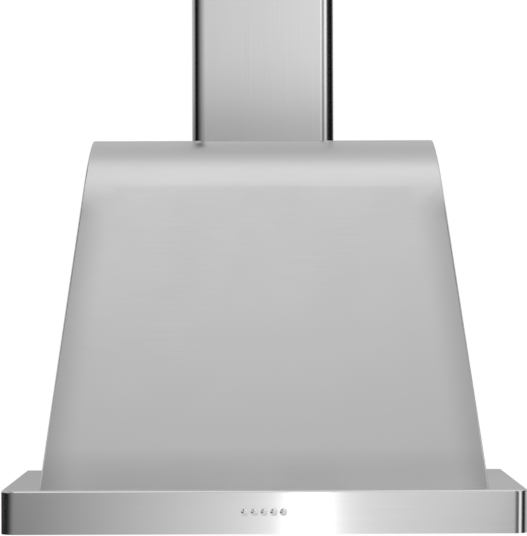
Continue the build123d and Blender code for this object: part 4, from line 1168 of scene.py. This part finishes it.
@dataclass
class Impeller:
    """Forward-curved blower wheel: blades between two end rings, on a disc and a hub."""

    blades: int = 32
    outer_radius: float = 70.0
    inner_radius: float = 58.0
    bow: float = 2.5
    blade_sheet: float = 1.0
    width: float = 132.0
    ring_width: float = 2.0
    disc_sheet: float = 1.6
    hub_radius: float = 12.0
    hub_length: float = 20.0
    bore_radius: float = 4.0
    blade_steps: int = 6
    ring_steps: int = 96
    hub_steps: int = 48

    def build(self) -> None:
        """Grows the wheel round Z and lays its axis along X."""
        middle = tuple((a + b) / 2 for a, b in zip(*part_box("impeller")))
        grow = Growth("impeller", sizes_of(self) | {"Middle": middle})
        add, given = grow.add, grow.given
        bore, inner, outer = given["Bore Radius"], given["Inner Radius"], given["Outer Radius"]
        tip = add("Math", outer, given["Blade Sheet"], operation="SUBTRACT")
        halfway = add("Math", add("Math", inner, tip, operation="ADD"), 0.5, operation="MULTIPLY")
        bow = add("Math", given["Bow"], -1.0, operation="MULTIPLY")
        ends = {name: add("CombineXYZ", spot) for name, spot in (("Start", inner), ("End", tip))}
        bend = {"Resolution": given["Blade Steps"], "Middle": add("CombineXYZ", halfway, bow), **ends}
        bend = add("CurveArc", bend, mode="POINTS")
        between = add("Math", given["Width"], given["Ring Width"], operation="SUBTRACT")
        blade = grow.sweep(bend, between, given["Blade Sheet"])
        spots = add("MeshCircle", {"Vertices": given["Blades"], "Radius": MERGE})
        share = add("Math", 2 * math.pi, given["Blades"], operation="DIVIDE")
        turn = add("CombineXYZ", {"Z": add("Math", add("InputIndex"), share, operation="MULTIPLY")})
        solids = [add("InstanceOnPoints", {"Points": spots, "Instance": blade, "Rotation": turn})]
        for end in (0.5, -0.5):
            place = add("Math", between, end, operation="MULTIPLY")
            solids.append(grow.ring(inner, outer, given["Ring Width"], place, given["Ring Steps"]))
        solids.append(grow.ring(bore, outer, given["Disc Sheet"], 0.0, given["Ring Steps"]))
        solids.append(grow.ring(bore, given["Hub Radius"], given["Hub Length"], 0.0, given["Hub Steps"]))
        grow.bake(add("Transform", {
            "Geometry": add("JoinGeometry", solids), "Translation": given["Middle"],
            "Rotation": (0.0, math.pi / 2, 0.0),
        }))


@dataclass
class Blower:
    """Scroll, wheel, motor, collar and flaps."""

    nodes: tuple[str, ...] = (
        "blower_shell_left", "blower_shell_right", "rotor_shaft", "wheel_nut", "motor_body", "motor_spider",
        "collar_gasket", "outlet_collar", "damper_pins", "damper_flap_front", "damper_flap_rear",
    )

    def build(self) -> None:
        """Makes the wheel and the screws, and dresses the other nodes of the blower."""
        for node in self.nodes:
            carry(node)
        Impeller().build()
        Screws("blower_screws").build()


@dataclass
class Filter:
    """One baffle filter on its hinge line, with two rows of facing channels."""

    side: Side
    channels: int = 7
    span: float = 234.0
    slot_width: float = 11.0
    cover_width: float = 20.0
    lip: float = 4.5
    sheet: float = 0.8
    length: float = 288.0
    bend_radius: float = 1.2
    bend_steps: int = 3

    def row(
        self, grow: Growth, pitch: NodeSocket, count: NodeSocket, width: NodeSocket, low: bool
    ) -> NodeSocket:
        """Sweeps one row of channels along Y.

        Args:
            grow: The tree.
            pitch: Distance from channel to channel.
            count: Number of channels.
            width: Width of a channel.
            low: True for the lower row, whose channels open upwards.

        Returns:
            The row, about the filter's middle.
        """
        add, given = grow.add, grow.given
        corner = add("IndexSwitch", {"Index": add("InputIndex")}, data_type="VECTOR")
        spots = ((-0.5, 1.0, 0.0), (-0.5, 0.0, 0.0), (0.5, 0.0, 0.0), (0.5, 1.0, 0.0))
        while len(corner.node.index_switch_items) < len(spots):
            corner.node.index_switch_items.new()
        for item, spot in enumerate(spots, start=1):
            corner.node.inputs[item].default_value = spot
        size = add("CombineXYZ", width, given["Lip"])
        shape = add("VectorMath", corner.node.outputs[0], size, operation="MULTIPLY")
        line = add("MeshLine", {"Count": len(spots)})
        line = add("MeshToCurve", add("SetPosition", {"Geometry": line, "Position": shape}))
        bend = {"Curve": line, "Count": given["Bend Steps"], "Radius": given["Bend Radius"]}
        line = add("FilletCurve", bend, mode="POLY")
        inwards = add("Math", given["Sheet"], -1.0, operation="MULTIPLY")
        channel = grow.sweep(line, given["Length"], inwards)
        run = add("Math", add("Math", count, 1.0, operation="SUBTRACT"), pitch, operation="MULTIPLY")
        first = add("Math", run, -0.5, operation="MULTIPLY")
        rise = add("Math", given["Height"], -0.5 if low else 0.5, operation="MULTIPLY")
        spots = add("MeshLine", {
            "Count": count, "Start Location": add("CombineXYZ", {"X": first, "Z": rise}),
            "Offset": add("CombineXYZ", pitch),
        })
        return add("InstanceOnPoints", {
            "Points": spots, "Instance": channel, "Rotation": (math.pi / 2, 0.0 if low else math.pi, 0.0)
        })

    def build_baffles(self) -> None:
        """Grows both rows of channels and the strips that join their ends."""
        baffles = f"filter_{self.side.value}_baffles"
        low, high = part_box(baffles)
        middle = tuple((a + b) / 2 for a, b in zip(low, high))
        grow = Growth(baffles, sizes_of(self) | {"Height": high[2] - low[2], "Middle": middle})
        add, given = grow.add, grow.given
        pitch = add("Math", given["Span"], given["Channels"], operation="DIVIDE")
        count = add("Math", given["Channels"], 1.0, operation="ADD")
        width = add("Math", pitch, given["Slot Width"], operation="SUBTRACT")
        rows = [
            self.row(grow, pitch, count, width, True),
            self.row(grow, pitch, given["Channels"], given["Cover Width"], False),
        ]
        rows = add("RealizeInstances", add("JoinGeometry", rows))
        # The channels at both sides are cut along the frame, by a block as wide as the span.
        room = add("MeshCube", add("CombineXYZ", given["Span"], 1.0, 1.0))
        solids = [add("MeshBoolean", {"Mesh 2": [rows, room]}, operation="INTERSECT")]
        size = add("CombineXYZ", given["Span"], given["Sheet"], given["Height"])
        run = add("Math", given["Length"], given["Sheet"], operation="SUBTRACT")
        for end in (-0.5, 0.5):
            place = add("CombineXYZ", {"Y": add("Math", run, end, operation="MULTIPLY")})
            strip = add("MeshCube", size)
            solids.append(add("Transform", {"Geometry": strip, "Translation": place}))
        whole = add("JoinGeometry", solids)
        grow.bake(add("Transform", {"Geometry": whole, "Translation": given["Middle"]}))

    def build(self) -> None:
        """Makes the baffles and dresses their frame and its pull."""
        self.build_baffles()
        for piece in ("frame", "pull"):
            carry(f"filter_{self.side.value}_{piece}")


@dataclass
class Lamp:
    """One lamp in the panel's front strip, with rings pressed into its lens."""

    side: Side
    ring_pitch: float = 3.0
    ring_depth: float = 0.5
    rim_width: float = 2.4
    bevel: float = 0.3
    steps_per_ring: int = 6

    def profile(self, radius: float, low: float, high: float) -> list[tuple[float, float]]:
        """Half outline of the lens, as radius and Z.

        Args:
            radius: Radius of the lens.
            low: Height of its lower face.
            high: Height of its upper face.

        Returns:
            Points from the middle of the lower face to the middle of the upper one.
        """
        count = int((radius - self.rim_width) / self.ring_pitch * self.steps_per_ring)
        outline = []
        for i in range(count + 1):
            wave = 0.5 - 0.5 * math.cos(2 * math.pi * i / self.steps_per_ring)
            outline.append((i * self.ring_pitch / self.steps_per_ring, low + self.ring_depth * wave))
        return outline + [(radius - self.bevel, low), (radius, low + self.bevel), (radius, high), (0.0, high)]

    def build(self) -> None:
        """Turns the lens and dresses the bezel, bulb and housing."""
        node = f"lamp_{self.side.value}_lens"
        low, high = [[c / MM for c in corner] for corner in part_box(node)]
        x, y = (low[0] + high[0]) / 2, (low[1] + high[1]) / 2
        outline = self.profile((high[0] - low[0]) / 2, low[2], high[2])
        mesh = turned(node, outline, lambda r, z, a: (x + r * math.cos(a), y + r * math.sin(a), z))
        new_piece(f"{node}_pressed", mesh, node)
        for piece in ("bezel", "bulb", "housing"):
            carry(f"lamp_{self.side.value}_{piece}")


@dataclass
class Electrics:
    """Terminal box, capacitor and cable gland."""

    nodes: tuple[str, ...] = (
        "terminal_box", "terminal_box_lid", "terminal_block", "motor_capacitor", "cable_gland", "gland_nut",
    )

    def build(self) -> None:
        """Makes the screws and dresses the other nodes of the electrics."""
        for node in self.nodes:
            carry(node)
        Screws("box_screws").build()


def main() -> None:
    """Builds the studio and every assembly, and logs each assembly before it is built."""
    Studio().build()
    assemblies = [Base(), Canopy(), Chimney(), Controls(), Blower()]
    assemblies += [Filter(side) for side in Side]
    assemblies += [Lamp(side) for side in (Side.LEFT, Side.RIGHT)]
    assemblies.append(Electrics())
    for assembly in assemblies:
        log.info("building %s", assembly)
        assembly.build()


if __name__ == "__main__":
    main()
